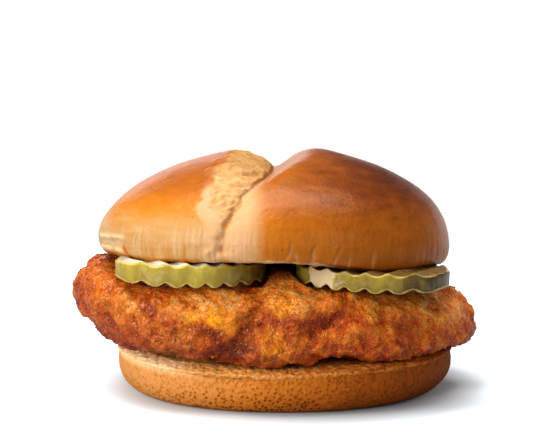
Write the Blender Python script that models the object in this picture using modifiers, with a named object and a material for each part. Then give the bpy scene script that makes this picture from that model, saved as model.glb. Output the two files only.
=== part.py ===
"""Chicken burger: a torn crown, two crinkle-cut pickle slices, a battered fillet and a heel.

Metres, +Z up, standing on z = 0. The front is -Y and the right-hand side is +X.
"""

import math
from collections import namedtuple

import bmesh
import bpy
from mathutils import Euler, Matrix, Vector, noise

# How a flat piece lies: the centre of its reference plane, then three angles in degrees.
# tilt lifts its front, roll lowers its right side, turn spins it about its own axis.
Rest = namedtuple("Rest", "x y z tilt roll turn")

# A rise or fall of a skin: its full height, and where it starts and ends along one axis.
Slope = namedtuple("Slope", "height start end")

# A groove in the batter's front: the (x, z) of its two ends, its width and its depth.
Fold = namedtuple("Fold", "start end width depth")

GAP = 0.0004  # left between neighbouring pieces

# Heel: the lower half of the bun
HEEL_X = 0.0029  # its centre, a little right of the burger's middle
HEEL_RADIUS = 0.0500
HEEL_FOOT_RADIUS = 0.0433  # the ring that touches the table
HEEL_WIDEST_Z = 0.0088
HEEL_CREASE_Z = 0.0113  # where the crust ends and the toasted cut face begins
HEEL_LIP = 0.0007  # how far the cut edge flares past the crease
HEEL_RIM_Z = 0.0122
HEEL_SHOULDER = 0.0055  # width of the slope from the rim up to the cut face
HEEL_TOP_Z = 0.0136
HEEL_STEPS = 72

# Crown: the upper half of the bun, torn open across the top
CROWN = Rest(-0.0005, 0.0, 0.0388, 6.6, 2.0, 0.0)
CROWN_RADIUS = 0.0528
CROWN_WIDEST = 0.0050  # height of its widest ring above the cut face
CROWN_HEIGHT = 0.0330
CROWN_CUT_RADIUS = 0.0500
CROWN_STEPS = 88
CROWN_LEVEL = 0.034  # slope that keeps the dome level although its cut face rolls to the right
CROWN_SAG = ((-121.0, 0.0006), (-56.0, 0.0012))  # where the rim hangs lower, and by how much
CROWN_SAG_SPREAD = 19.0
CROWN_SKIRT = 0.010  # height of the lowest band, which sags
UNEVEN = 0.0005  # how far both halves of the bun are out of round

# The tear starts behind the crown's top, runs straight forward, then swings left to the front rim
TEAR_X = -0.0009
TEAR_BACK_Y = 0.0390
TEAR_FRONT_Y = -0.0505
TEAR_SWING = 0.0150
TEAR_DEPTH_TOP = 0.0056
TEAR_DEPTH_FRONT = 0.0014
TEAR_LEFT_WIDTH = (0.0058, 0.0020)  # of the torn slope, at the top and at the rim
TEAR_RIGHT_WIDTH = (0.0062, 0.0026)  # of the rounded flank
TEAR_HUMP = 0.0006  # the two lobes swell beside it

# The crown's pinched corner, low on the left
PINCH_ANGLE = -153.0
PINCH_SPREAD = 12.0
PINCH_HEIGHT = 0.0032
PINCH_TALL = 0.0019
PINCH_DEPTH = 0.0016

# Pickles
PICKLE_THICKNESS = 0.0047
PICKLE_WAVE = 0.00065  # half of the height from crest to trough
PICKLE_WAVE_POINTS = 6  # along one wave
PICKLE_SIDES = 56
PICKLE_UNEVEN = 0.008  # share of the radius that the skin is out of round
SEAT_SIDES = 48
SEAT_DEPTH = 0.030  # of the cutter that clears the room above or below a slice
PICKLE_LEFT = Rest(-0.0246, -0.0262, 0.0396, 0.4, 1.0, 16.7)
PICKLE_LEFT_RADIUS = 0.0220
PICKLE_LEFT_PERIOD = 0.0055
PICKLE_LEFT_CREST = -0.0012
PICKLE_RIGHT = Rest(0.0285, -0.0260, 0.0379, 0.5, 2.8, -22.5)
PICKLE_RIGHT_RADIUS = 0.0223
PICKLE_RIGHT_PERIOD = 0.0059
PICKLE_RIGHT_CREST = -0.0003

# Fillet: half widths from its middle, and the heights of its skin
FILLET_LEFT, FILLET_RIGHT = 0.0600, 0.0590
FILLET_FRONT, FILLET_BACK = 0.0508, 0.0500
FILLET_CORNER = 2.25  # exponent of its outline, 2 being an ellipse
FILLET_BELLY_Z = 0.0215  # height of its widest line, in the middle
FILLET_BELLY_SLOPE = -0.070  # that line falls towards the right
LEFT_BELLY = Slope(0.0036, -0.040, -0.056)  # and rises at the left end
FILLET_TOP_Z = 0.0366
FILLET_UNDER_Z = 0.0142
FILLET_AROUND, FILLET_ROWS = 108, 26
FILLET_SPREAD_TOP, FILLET_SPREAD_UNDER = 0.22, 0.20  # exponents that square its section
FILLET_RISE = 0.72

# Slopes of the fillet's upper skin, then of its lower one
LEFT_RISE = Slope(0.0040, -0.040, -0.053)
RIGHT_FALL = Slope(0.0064, 0.014, 0.058)
BACK_FALL = Slope(0.0030, 0.010, 0.045)
LEFT_CURL = Slope(0.0072, -0.042, -0.061)
RIGHT_SAG = Slope(0.0008, 0.050, 0.058)

# Relief of the batter
MIDDLE_LUMP = 0.0036  # between the two slices
FRONT_NOTCH = 0.0016  # under the front edge, right of the middle
FRONT_BULGE = 0.0028  # low on the front, left of the middle
FOLDS = (
    Fold((-0.0040, 0.0290), (-0.0130, 0.0185), 0.0030, 0.0028),
    Fold((0.0100, 0.0250), (0.0210, 0.0285), 0.0026, 0.0020),
    Fold((0.0210, 0.0285), (0.0460, 0.0235), 0.0024, 0.0011),
    Fold((-0.0450, 0.0250), (-0.0180, 0.0225), 0.0028, 0.0010),
)
LUMP_SIZE, LUMP_HEIGHT = 0.0170, 0.0017
CRAG_SIZE, CRAG_HEIGHT = 0.0072, 0.0016
GRAIN_SIZE, GRAIN_HEIGHT = 0.0042, 0.0007


def linear(red, green, blue):
    """A display colour, 0 to 255, as the linear colour that a shader takes."""
    def one(value):
        value /= 255
        return value / 12.92 if value <= 0.04045 else ((value + 0.055) / 1.055) ** 2.4
    return one(red), one(green), one(blue), 1.0


def smooth(low, high, value):
    """0 below low, 1 above high, and an easy slope between."""
    t = min(max((value - low) / (high - low), 0.0), 1.0)
    return t * t * (3 - 2 * t)


def mix(a, b, t):
    return a + (b - a) * t


def bell(value, width):
    return math.exp(-((value / width) ** 2))


def slope_at(slope, value):
    return slope.height * smooth(slope.start, slope.end, value)


def pose(rest):
    """The rotation of a flat piece, without its turn."""
    return Euler((-math.radians(rest.tilt), math.radians(rest.roll), 0.0)).to_matrix()


def height_on(rest, x, y):
    """Height of the rest's plane above a point of the table."""
    normal = pose(rest) @ Vector((0, 0, 1))
    return rest.z - (normal.x * (x - rest.x) + normal.y * (y - rest.y)) / normal.z


def matrix_of(rest):
    turned = pose(rest) @ Matrix.Rotation(math.radians(rest.turn), 3, "Z")
    return Matrix.Translation((rest.x, rest.y, rest.z)) @ turned.to_4x4()


def clear_scene():
    for obj in list(bpy.data.objects):
        bpy.data.objects.remove(obj)


def new_collection(name):
    collection = bpy.data.collections.new(name)
    bpy.context.scene.collection.children.link(collection)
    return collection


def material(name, colour, roughness, coat=0.0, subsurface=0.0):
    made = bpy.data.materials.new(name)
    made.use_nodes = True
    shader = made.node_tree.nodes["Principled BSDF"]
    shader.inputs["Base Color"].default_value = linear(*colour)
    shader.inputs["Roughness"].default_value = roughness
    shader.inputs["Metallic"].default_value = 0.0
    shader.inputs["Coat Weight"].default_value = coat
    shader.inputs["Subsurface Weight"].default_value = subsurface
    made.diffuse_color = linear(*colour)
    return made


def new_object(name, mesh, collection, finish=None):
    obj = bpy.data.objects.new(name, mesh)
    collection.objects.link(obj)
    if finish:
        mesh.materials.clear()
        mesh.materials.append(finish)
    return obj


def mesh_of(obj):
    """The evaluated mesh of an object, which is then removed."""
    bpy.context.view_layer.update()
    evaluated = obj.evaluated_get(bpy.context.evaluated_depsgraph_get())
    mesh = bpy.data.meshes.new_from_object(evaluated)
    bpy.data.objects.remove(obj)
    return mesh


def turned(profile, steps, collection):
    """The mesh of a profile, from its top on the axis down to its foot on the axis, turned about Z."""
    line = bpy.data.meshes.new("profile")
    edges = [(i, i + 1) for i in range(len(profile) - 1)]
    line.from_pydata([(radius, 0.0, z) for radius, z in profile], edges, [])
    obj = new_object("profile", line, collection)
    screw = obj.modifiers.new("Turn", "SCREW")
    screw.steps = screw.render_steps = steps
    screw.use_merge_vertices = True
    screw.merge_threshold = 0.0001
    screw.use_smooth_shade = True
    return mesh_of(obj)


def quarter(start, end, pieces, upper=True):
    """Points of a quarter ellipse between two corners of (radius, height), without the first."""
    points = []
    for i in range(1, pieces + 1):
        angle = math.pi / 2 * i / pieces
        out, up = (math.sin(angle), 1 - math.cos(angle)) if upper else (1 - math.cos(angle), math.sin(angle))
        points.append((mix(start[0], end[0], out), mix(start[1], end[1], up)))
    return points


def heel_profile():
    rim = HEEL_RADIUS + HEEL_LIP
    crease = (HEEL_RADIUS - 0.0003, HEEL_CREASE_Z)
    flat = [(r * HEEL_RADIUS, HEEL_TOP_Z + dome) for r, dome in ((0, 4e-4), (0.35, 3e-4), (0.65, 2e-4))]
    shoulder = [(rim - HEEL_SHOULDER, HEEL_TOP_Z), (rim - 0.4 * HEEL_SHOULDER, HEEL_TOP_Z - 0.0005)]
    widest = (HEEL_RADIUS, HEEL_WIDEST_Z)
    foot = (HEEL_FOOT_RADIUS, 0.0)
    side = quarter(widest, foot, 6, upper=False)
    under = [(0.5 * HEEL_RADIUS, 0.0), (0.0, 0.0)]
    return flat + shoulder + [(rim, HEEL_RIM_Z), crease, widest] + side + under


def heel_top(x, y):
    """Height of the heel's cut face, and of its rim past its edge."""
    radius = math.hypot(x - HEEL_X, y)
    edge = HEEL_RADIUS + HEEL_LIP
    return mix(HEEL_TOP_Z + 0.0004, HEEL_RIM_Z, smooth(edge - HEEL_SHOULDER, edge + 0.002, radius))


def make_heel(collection):
    mesh = turned(heel_profile(), HEEL_STEPS, collection)
    for vertex in mesh.vertices:
        side = smooth(0.6, 1.0, vertex.co.xy.length / HEEL_RADIUS)
        angle = math.atan2(vertex.co.y, vertex.co.x)
        uneven = UNEVEN * (math.sin(2 * angle + 0.7) + 0.6 * math.sin(5 * angle))
        vertex.co.x += side * uneven * math.cos(angle)
        vertex.co.y += side * uneven * math.sin(angle)
        on_crust = smooth(0.0, HEEL_WIDEST_Z, vertex.co.z) * side
        vertex.co.z -= on_crust * UNEVEN * (0.5 + 0.5 * math.sin(3 * angle + 1.0))
    finish = material("heel_crust", (206, 128, 62), 0.62, subsurface=0.1)
    heel = new_object("heel", mesh, collection, finish)
    heel.location.x = HEEL_X
    return heel


def crown_profile():
    base = CROWN_WIDEST
    top = [(0.0, CROWN_HEIGHT)] + quarter((0.0, CROWN_HEIGHT), (CROWN_RADIUS, base), 17)
    corner = quarter((CROWN_RADIUS, base), (CROWN_CUT_RADIUS, 0.0), 4, upper=False)
    return top + corner + [(0.8 * CROWN_CUT_RADIUS, 0.0), (0.45 * CROWN_CUT_RADIUS, 0.0), (0.0, 0.0)]


def tear_place(point):
    """How far along the tear a point lies, 0 at its back and 1 at the rim, and how far to the right of it."""
    forward = max(point.y / TEAR_FRONT_Y, 0.0)
    middle = TEAR_X - TEAR_SWING * forward ** 4
    slope = 4 * TEAR_SWING * forward ** 3 / TEAR_FRONT_Y
    share = (TEAR_BACK_Y - point.y) / (TEAR_BACK_Y - TEAR_FRONT_Y)
    return share, (point.x - middle) / math.hypot(1.0, slope)


def tear_drop(point):
    """How far the crown's skin sinks into the tear, or swells beside it where this is negative."""
    share, across = tear_place(point)
    along = smooth(0.60, 1.0, share)
    depth = mix(TEAR_DEPTH_TOP, TEAR_DEPTH_FRONT, along) * smooth(0.0, 0.32, share)
    if across < 0:
        width = mix(*TEAR_LEFT_WIDTH, along)
        sink = math.exp(across / width)
    else:
        width = mix(*TEAR_RIGHT_WIDTH, along)
        sink = bell(across, width)
    swell = TEAR_HUMP * bell(abs(across) - 2.3 * width, width) * (1 - along)
    return depth * sink - swell


def between_angles(a, b):
    """The turn from b to a, from -180 to 180 degrees."""
    return (a - b + 180) % 360 - 180


def shape_crown(point):
    """Moves a point of the turned dome to where the real crown's skin is."""
    angle = math.atan2(point.y, point.x)
    turn = math.degrees(angle)
    radial = Vector((math.cos(angle), math.sin(angle), 0.0))
    out = Vector((point.x / CROWN_RADIUS ** 2, point.y / CROWN_RADIUS ** 2, point.z / CROWN_HEIGHT ** 2))
    moved = point.copy()
    moved -= out.normalized() * smooth(0.0003, 0.0040, point.z) * tear_drop(point)
    outward = point.xy.length / CROWN_RADIUS
    uneven = UNEVEN * math.sin(3 * angle + 0.4) * smooth(0.3, 1.0, outward)
    pinch = bell(between_angles(turn, PINCH_ANGLE), PINCH_SPREAD) * bell(point.z - PINCH_HEIGHT, PINCH_TALL)
    moved += radial * (uneven - PINCH_DEPTH * pinch)
    moved.z += CROWN_LEVEL * point.x * smooth(0.0, CROWN_HEIGHT / 2, point.z)
    rim = (1 - smooth(0.0, CROWN_SKIRT, point.z)) * smooth(0.7, 0.95, outward)
    for place, drop in CROWN_SAG:
        moved.z -= drop * rim * bell(between_angles(turn, place), CROWN_SAG_SPREAD)
    return moved


def make_crown(collection):
    bm = bmesh.new()
    bm.from_mesh(turned(crown_profile(), CROWN_STEPS, collection))
    for vertex in bm.verts:
        vertex.co = shape_crown(vertex.co)
    bmesh.ops.triangulate(bm, faces=bm.faces, quad_method="SHORT_EDGE")
    mesh = bpy.data.meshes.new("crown")
    bm.to_mesh(mesh)
    bm.free()
    finish = material("crown_crust", (205, 126, 58), 0.35, coat=0.25, subsurface=0.1)
    crown = new_object("crown", mesh, collection, finish)
    crown.matrix_world = matrix_of(CROWN)
    return crown


def wave_outline(radius, period, crest):
    """The outline of a crinkle-cut slice seen along its ridges: both faces follow one wave."""
    count = round(2 * radius / period * PICKLE_WAVE_POINTS)
    reach = radius + 0.001
    across = [mix(-reach, reach, i / count) for i in range(count + 1)]
    wave = [PICKLE_WAVE * math.cos(2 * math.pi * (u - crest) / period) for u in across]
    upper = [(u, w + PICKLE_THICKNESS / 2) for u, w in zip(across, wave)]
    lower = [(u, w - PICKLE_THICKNESS / 2) for u, w in zip(across, wave)]
    return upper + lower[::-1]


def corrugated_slab(outline, reach, collection):
    """The outline as a 2D curve, thickened to a slab that lies flat."""
    curve = bpy.data.curves.new("slab", "CURVE")
    curve.dimensions = "2D"
    curve.fill_mode = "BOTH"
    curve.extrude = reach
    spline = curve.splines.new("POLY")
    spline.points.add(len(outline) - 1)
    for point, (u, z) in zip(spline.points, outline):
        point.co = (u, z, 0.0, 1.0)
    spline.use_cyclic_u = True
    mesh = mesh_of(new_object("slab", curve, collection))
    mesh.transform(Matrix.Rotation(math.radians(90), 4, "X"))
    bm = bmesh.new()
    bm.from_mesh(mesh)
    bmesh.ops.remove_doubles(bm, verts=bm.verts, dist=1e-6)
    bmesh.ops.recalc_face_normals(bm, faces=bm.faces)
    bm.to_mesh(mesh)
    bm.free()
    return mesh


def round_blank(radius, low, high, sides, uneven=0.0):
    """A disc between two heights, a little out of round when uneven is given."""
    bm = bmesh.new()
    bmesh.ops.create_cone(
        bm, cap_ends=True, segments=sides, radius1=radius, radius2=radius, depth=high - low
    )
    for vertex in bm.verts:
        angle = math.atan2(vertex.co.y, vertex.co.x)
        vertex.co.xy *= 1 + uneven * (math.sin(2 * angle + 0.5) + 0.6 * math.sin(5 * angle))
        vertex.co.z += (low + high) / 2
    mesh = bpy.data.meshes.new("blank")
    bm.to_mesh(mesh)
    bm.free()
    return mesh


def as_cutter(obj):
    obj.hide_render = True
    obj.display_type = "WIRE"
    return obj


def add_boolean(obj, other, operation):
    boolean = obj.modifiers.new(other.name, "BOOLEAN")
    boolean.operation = operation
    boolean.object = other


def make_pickle(name, rest, radius, period, crest, finish, parts, cutters):
    """A slice, with the seats that it presses into the bread above it and the batter below."""
    slab = corrugated_slab(wave_outline(radius, period, crest), radius + 0.002, parts)
    pickle = new_object(name, slab, parts, finish)
    pickle.matrix_world = matrix_of(rest)
    edge = round_blank(radius, -PICKLE_THICKNESS, PICKLE_THICKNESS, PICKLE_SIDES, PICKLE_UNEVEN)
    blank = as_cutter(new_object(name + "_edge", edge, cutters))
    blank.matrix_world = matrix_of(rest)
    add_boolean(pickle, blank, "INTERSECT")
    half = PICKLE_THICKNESS / 2 + PICKLE_WAVE + GAP
    wide = radius * (1 + 2 * PICKLE_UNEVEN) + GAP
    seats = {}
    for side, low, high in (("above", -SEAT_DEPTH, half), ("below", -half, SEAT_DEPTH)):
        seat = new_object(f"{name}_seat_{side}", round_blank(wide, low, high, SEAT_SIDES), cutters)
        seats[side] = as_cutter(seat)
        seats[side].matrix_world = matrix_of(rest)
    return pickle, seats


def fillet_outline(angle):
    """Distance from the middle to the outline, in the direction of an angle from +X."""
    across, deep = math.cos(angle), math.sin(angle)
    wide = FILLET_RIGHT if across > 0 else FILLET_LEFT
    long = FILLET_BACK if deep > 0 else FILLET_FRONT
    power = FILLET_CORNER
    reach = (abs(across / wide) ** power + abs(deep / long) ** power) ** (-1 / power)
    return reach * (1 + 0.012 * math.sin(3 * angle + 0.6) + 0.010 * math.sin(5 * angle + 2.1))


def fillet_top(x, y):
    """The batter's upper skin: high at the left end, low at the right, with a lump between the pickles."""
    lump = MIDDLE_LUMP * bell(x - 0.0015, 0.0065) * bell(y + 0.040, 0.013)
    return FILLET_TOP_Z + slope_at(LEFT_RISE, x) - slope_at(RIGHT_FALL, x) - slope_at(BACK_FALL, y) + lump


def fillet_under(x, y):
    """The batter's lower skin: flat on the heel, and curling up past the heel's left edge."""
    notch = FRONT_NOTCH * bell(x - 0.018, 0.010) * smooth(-0.025, -0.045, y)
    return FILLET_UNDER_Z + slope_at(LEFT_CURL, x) - slope_at(RIGHT_SAG, x) + notch


def groove(fold, x, z):
    """The fold's depth along its line on the front face, falling to 0 within its width."""
    start, end, here = Vector(fold.start), Vector(fold.end), Vector((x, z))
    share = (here - start).dot(end - start) / (end - start).length_squared
    nearest = start.lerp(end, min(max(share, 0.0), 1.0))
    return fold.depth * bell((here - nearest).length, fold.width)


def batter_relief(point):
    """How far the batter stands out at a point: lumps of meat, crags and the folds on the front."""
    lump = noise.noise(point / LUMP_SIZE + Vector((3.1, 0.4, 7.7)))
    crag = 0.62 - noise.voronoi(point / CRAG_SIZE)[0][0]
    grain = noise.noise(point / GRAIN_SIZE + Vector((9.3, 5.2, 1.6)))
    height = LUMP_HEIGHT * lump + CRAG_HEIGHT * crag + GRAIN_HEIGHT * grain
    front = smooth(-0.010, -0.025, point.y)
    folds = sum(groove(fold, point.x, point.z) for fold in FOLDS)
    bulge = FRONT_BULGE * bell(point.x + 0.006, 0.011) * bell(point.z - 0.0165, 0.004)
    return height + front * (bulge - folds)


def make_fillet(collection):
    bm = bmesh.new()
    bmesh.ops.create_uvsphere(
        bm, u_segments=FILLET_AROUND, v_segments=FILLET_ROWS, radius=1.0
    )
    for vertex in bm.verts:
        level = math.asin(min(max(vertex.co.z, -1.0), 1.0))
        angle = math.atan2(vertex.co.y, vertex.co.x)
        spread = max(math.cos(level), 0.0) ** (FILLET_SPREAD_TOP if level > 0 else FILLET_SPREAD_UNDER)
        rise = abs(math.sin(level)) ** FILLET_RISE
        reach = fillet_outline(angle) * spread
        x, y = reach * math.cos(angle), reach * math.sin(angle)
        belly = FILLET_BELLY_Z + FILLET_BELLY_SLOPE * x + slope_at(LEFT_BELLY, x)
        skin = fillet_top(x, y) if level > 0 else fillet_under(x, y)
        vertex.co = (x, y, mix(belly, skin, rise))
    bm.normal_update()
    relief = [batter_relief(v.co) * smooth(0.20, 0.55, v.co.xy.length / FILLET_FRONT) for v in bm.verts]
    normals = [v.normal.copy() for v in bm.verts]
    for vertex, height, normal in zip(bm.verts, relief, normals):
        vertex.co += normal * height
        x, y, z = vertex.co
        highest = height_on(CROWN, x, y) - GAP
        lowest = heel_top(x, y) + GAP
        vertex.co.z = min(max(z, lowest), highest)
    bmesh.ops.triangulate(bm, faces=bm.faces)
    mesh = bpy.data.meshes.new("fillet")
    bm.to_mesh(mesh)
    bm.free()
    finish = material("fried_batter", (196, 110, 44), 0.42, coat=0.35, subsurface=0.08)
    return new_object("fillet", mesh, collection, finish)


def soft_shading(obj, degrees):
    obj.data.shade_smooth()
    obj.data.set_sharp_from_angle(angle=math.radians(degrees))


def shift_to_centre(parts):
    """The move that puts the middle of the burger's box over the origin."""
    bpy.context.view_layer.update()
    graph = bpy.context.evaluated_depsgraph_get()
    corners = []
    for obj in parts.objects:
        evaluated = obj.evaluated_get(graph)
        mesh = evaluated.to_mesh()
        corners += [obj.matrix_world @ vertex.co for vertex in mesh.vertices]
        evaluated.to_mesh_clear()
    middle = [(min(c[axis] for c in corners) + max(c[axis] for c in corners)) / 2 for axis in (0, 1)]
    return Vector((-middle[0], -middle[1], 0.0))


def build():
    clear_scene()
    parts = new_collection("chicken_burger")
    cutters = new_collection("cutters")
    pickle_flesh = material("pickle", (150, 132, 62), 0.28, coat=0.4, subsurface=0.25)
    heel = make_heel(parts)
    fillet = make_fillet(parts)
    crown = make_crown(parts)
    seats = []
    for name, rest, radius, period, crest in (
        ("pickle_left", PICKLE_LEFT, PICKLE_LEFT_RADIUS, PICKLE_LEFT_PERIOD, PICKLE_LEFT_CREST),
        ("pickle_right", PICKLE_RIGHT, PICKLE_RIGHT_RADIUS, PICKLE_RIGHT_PERIOD, PICKLE_RIGHT_CREST),
    ):
        pickle, own_seats = make_pickle(name, rest, radius, period, crest, pickle_flesh, parts, cutters)
        seats.append(own_seats)
    for own_seats in seats:
        add_boolean(crown, own_seats["above"], "DIFFERENCE")
        add_boolean(fillet, own_seats["below"], "DIFFERENCE")
    for obj in (heel, fillet, crown):
        soft_shading(obj, 45)
    shift = Matrix.Translation(shift_to_centre(parts))
    for obj in list(parts.objects) + list(cutters.objects):
        obj.matrix_world = shift @ obj.matrix_world


build()
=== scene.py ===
# %% [markdown]
# # A fried chicken burger
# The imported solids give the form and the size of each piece: a torn crown, two crinkle-cut pickle
# slices, a battered fillet and a heel. They are coarse. Here each solid gets a fine skin of the same
# form, with the crumb, the crags and the colours that make it look like food.

import math

import bmesh
import bpy
import numpy as np
from mathutils import Euler, Matrix, Vector, noise
from mathutils.bvhtree import BVHTree


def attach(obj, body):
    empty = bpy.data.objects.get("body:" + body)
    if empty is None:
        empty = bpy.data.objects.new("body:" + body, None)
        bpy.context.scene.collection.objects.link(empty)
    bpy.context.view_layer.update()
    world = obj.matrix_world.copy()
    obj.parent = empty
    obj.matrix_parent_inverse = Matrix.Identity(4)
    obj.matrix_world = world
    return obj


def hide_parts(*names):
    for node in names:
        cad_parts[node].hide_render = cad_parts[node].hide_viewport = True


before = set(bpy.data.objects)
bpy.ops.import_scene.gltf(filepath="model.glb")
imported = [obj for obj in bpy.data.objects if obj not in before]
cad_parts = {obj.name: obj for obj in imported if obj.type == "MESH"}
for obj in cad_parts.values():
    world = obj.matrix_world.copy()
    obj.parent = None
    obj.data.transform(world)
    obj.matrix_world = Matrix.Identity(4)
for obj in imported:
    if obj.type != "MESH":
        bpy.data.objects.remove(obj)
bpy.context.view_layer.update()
print("solids:", sorted(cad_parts))

# %% [markdown]
# ## Where things lie
# The solids were drawn round their own middle and then moved a hair, so that the whole box sits over
# the origin. The same small move is used here. A flat piece, such as a slice, is placed by the centre
# of its plane and three angles.

# %% Places of the pieces
CAD_SHIFT = Vector((0.0000379, 0.0001515, 0.0))


def placed(x, y, z, tilt, roll, turn=0.0):
    """The matrix of a flat piece: tilt lifts its front, roll lowers its right side, turn spins it."""
    lean = Euler((-math.radians(tilt), math.radians(roll), 0.0)).to_matrix()
    spin = Matrix.Rotation(math.radians(turn), 3, "Z")
    return Matrix.Translation(CAD_SHIFT + Vector((x, y, z))) @ (lean @ spin).to_4x4()


CROWN_PLACE = placed(-0.0005, 0.0, 0.0388, 6.6, 2.0)
HEEL_PLACE = placed(0.0029, 0.0, 0.0, 0.0, 0.0)

# %% [markdown]
# ## Helpers for shapes
# Each helper works on whole arrays of points at once, which is what makes a mesh of a hundred thousand
# points quick to shape. `lumps` reads Blender's own noise at each point.

# %% Easing, bells and noise
def ease(low, high, value):
    """0 below low, 1 above high, and an easy slope between."""
    share = np.clip((value - low) / (high - low), 0.0, 1.0)
    return share * share * (3 - 2 * share)


def blend(a, b, share):
    return a + (b - a) * share


def bell(value, width):
    return np.exp(-((value / width) ** 2))


def lumps(points, size, seed, octaves=1):
    """Smooth noise from about -1 to 1, with lumps of that size in metres (one size, or one for each axis)."""
    moved = points / size + np.array((3.7, 1.3, 8.1)) * seed
    if octaves == 1:
        return np.array([noise.noise(p) for p in moved.tolist()])
    return np.array([noise.fractal(p, 0.8, 2.1, octaves) for p in moved.tolist()])


def cells(points, size, seed):
    """Distance to the nearest of scattered points, in sizes: 0 in a cell's middle, about 0.7 between cells."""
    moved = points / size + np.array((5.1, 2.9, 4.3)) * seed
    return np.array([noise.voronoi(p)[0][0] for p in moved.tolist()])


# %% Meshes from rings, and painted attributes
def ring_mesh(name, rings):
    """A closed skin from an array of rings, top to bottom. The first and the last are single points."""
    rows, around = len(rings) - 2, rings.shape[1]
    points = np.concatenate([rings[0, :1], rings[1:-1].reshape(-1, 3), rings[-1, :1]])
    ring = 1 + np.arange(rows * around).reshape(rows, around)
    after = np.roll(ring, -1, axis=1)
    quads = np.stack([ring[:-1], ring[1:], after[1:], after[:-1]], axis=-1).reshape(-1, 4)
    top, bottom = 0, len(points) - 1
    fans = [(top, a, b) for a, b in zip(ring[0].tolist(), after[0].tolist())]
    fans += [(bottom, b, a) for a, b in zip(ring[-1].tolist(), after[-1].tolist())]
    mesh = bpy.data.meshes.new(name)
    mesh.from_pydata(points.tolist(), [], quads.tolist() + fans)
    mesh.shade_smooth()
    return mesh


def one_per_point(values):
    """The values of a ring mesh's points, in the order that ring_mesh gives them."""
    return np.concatenate([values[0, :1], values[1:-1].ravel(), values[-1, :1]])


def paint(mesh, name, values):
    attribute = mesh.attributes.new(name, "FLOAT", "POINT")
    attribute.data.foreach_set("value", np.asarray(values, np.float32))


def points_of(mesh):
    flat = np.empty(len(mesh.vertices) * 3, np.float32)
    mesh.vertices.foreach_get("co", flat)
    return flat.reshape(-1, 3).astype(float)


def normals_of(mesh):
    flat = np.empty(len(mesh.vertices) * 3, np.float32)
    mesh.vertex_normals.foreach_get("vector", flat)
    return flat.reshape(-1, 3).astype(float)


def set_points(mesh, points):
    mesh.vertices.foreach_set("co", np.asarray(points, np.float32).ravel())
    mesh.update()


def finish_piece(name, mesh, material, slot, *nodes):
    """Puts a finished mesh in the scene, riding on the burger in place of its CAD nodes."""
    piece = bpy.data.objects.new(name, mesh)
    bpy.context.scene.collection.objects.link(piece)
    mesh.materials.clear()
    mesh.materials.append(material)
    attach(piece, "root")
    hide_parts(*nodes)
    print(f"{name}: {len(mesh.vertices)} points, {len(mesh.polygons)} faces")
    return piece


# %% [markdown]
# ## Helpers for node trees
# Shader trees and Geometry Nodes trees are wired in the same way, so one helper serves both: it adds a
# node, sets its options, and links or sets each input.

# %% Wiring nodes
def srgb(red, green, blue):
    """A display colour, 0 to 255, as the linear colour that a shader takes."""
    shares = np.array((red, green, blue)) / 255
    linear = np.where(shares <= 0.04045, shares / 12.92, ((shares + 0.055) / 1.055) ** 2.4)
    return (*linear.tolist(), 1.0)


STUDIO_GAIN = 0.64  # the studio light is brighter than 1, so that the white floor stays white


def lit(red, green, blue):
    """The colour that shows as that display colour under the studio light."""
    return (*(STUDIO_GAIN * c for c in srgb(red, green, blue)[:3]), 1.0)


def connect(tree, socket, value):
    if isinstance(value, bpy.types.NodeSocket):
        tree.links.new(value, socket)
    elif value is not None:
        socket.default_value = value


def node(tree, kind, inputs=None, **options):
    made = tree.nodes.new(kind)
    for key, value in options.items():
        setattr(made, key, value)
    for key, value in (inputs or {}).items():
        connect(tree, made.inputs[key], value)
    return made


def calc(tree, operation, *values, clamp=False):
    made = node(tree, "ShaderNodeMath", operation=operation, use_clamp=clamp)
    for socket, value in zip(made.inputs, values):
        connect(tree, socket, value)
    return made.outputs[0]


def remap(tree, value, low, high, to_low=0.0, to_high=1.0):
    made = node(tree, "ShaderNodeMapRange", interpolation_type="SMOOTHSTEP")
    for socket, given in zip(made.inputs, (value, low, high, to_low, to_high)):
        connect(tree, socket, given)
    return made.outputs[0]


def noise_value(tree, vector, size, detail=2.0, roughness=0.5):
    """Noise from 0 to 1 with lumps of that size in metres."""
    wired = {"Vector": vector, "Scale": 1 / size, "Detail": detail, "Roughness": roughness}
    return node(tree, "ShaderNodeTexNoise", wired).outputs[0]


def cell_distance(tree, vector, size, randomness=1.0):
    wired = {"Vector": vector, "Scale": 1 / size, "Randomness": randomness}
    return node(tree, "ShaderNodeTexVoronoi", wired).outputs["Distance"]


def mix_colour(tree, share, a, b, blend_type="MIX"):
    made = node(tree, "ShaderNodeMix", data_type="RGBA", blend_type=blend_type)
    for index, value in ((0, share), (6, a), (7, b)):
        connect(tree, made.inputs[index], value)
    return made.outputs[2]


def ramp(tree, value, stops):
    """A colour ramp. Each stop is a place from 0 to 1 and a display colour."""
    made = node(tree, "ShaderNodeValToRGB", {"Fac": value})
    elements = made.color_ramp.elements
    while len(elements) < len(stops):
        elements.new(1.0)
    for element, (place, colour) in zip(elements, stops):
        element.position = place
        element.color = lit(*colour)
    return made.outputs["Color"]


def attribute(tree, name):
    return node(tree, "ShaderNodeAttribute", attribute_name=name).outputs["Fac"]


def bump(tree, height, distance, strength=1.0, normal=None):
    wired = {"Height": height, "Distance": distance, "Strength": strength, "Normal": normal}
    return node(tree, "ShaderNodeBump", wired).outputs[0]


def new_material(name, **values):
    """A Principled material, its tree, its shader and its Object coordinates. Uniform values go on the shader."""
    made = bpy.data.materials.new(name)
    made.use_nodes = True
    tree = made.node_tree
    shader = tree.nodes["Principled BSDF"]
    for key, value in values.items():
        shader.inputs[key.replace("_", " ").title().replace("Ior", "IOR")].default_value = value
    place = tree.nodes.new("ShaderNodeTexCoord").outputs["Object"]
    return made, tree, shader, place


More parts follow.
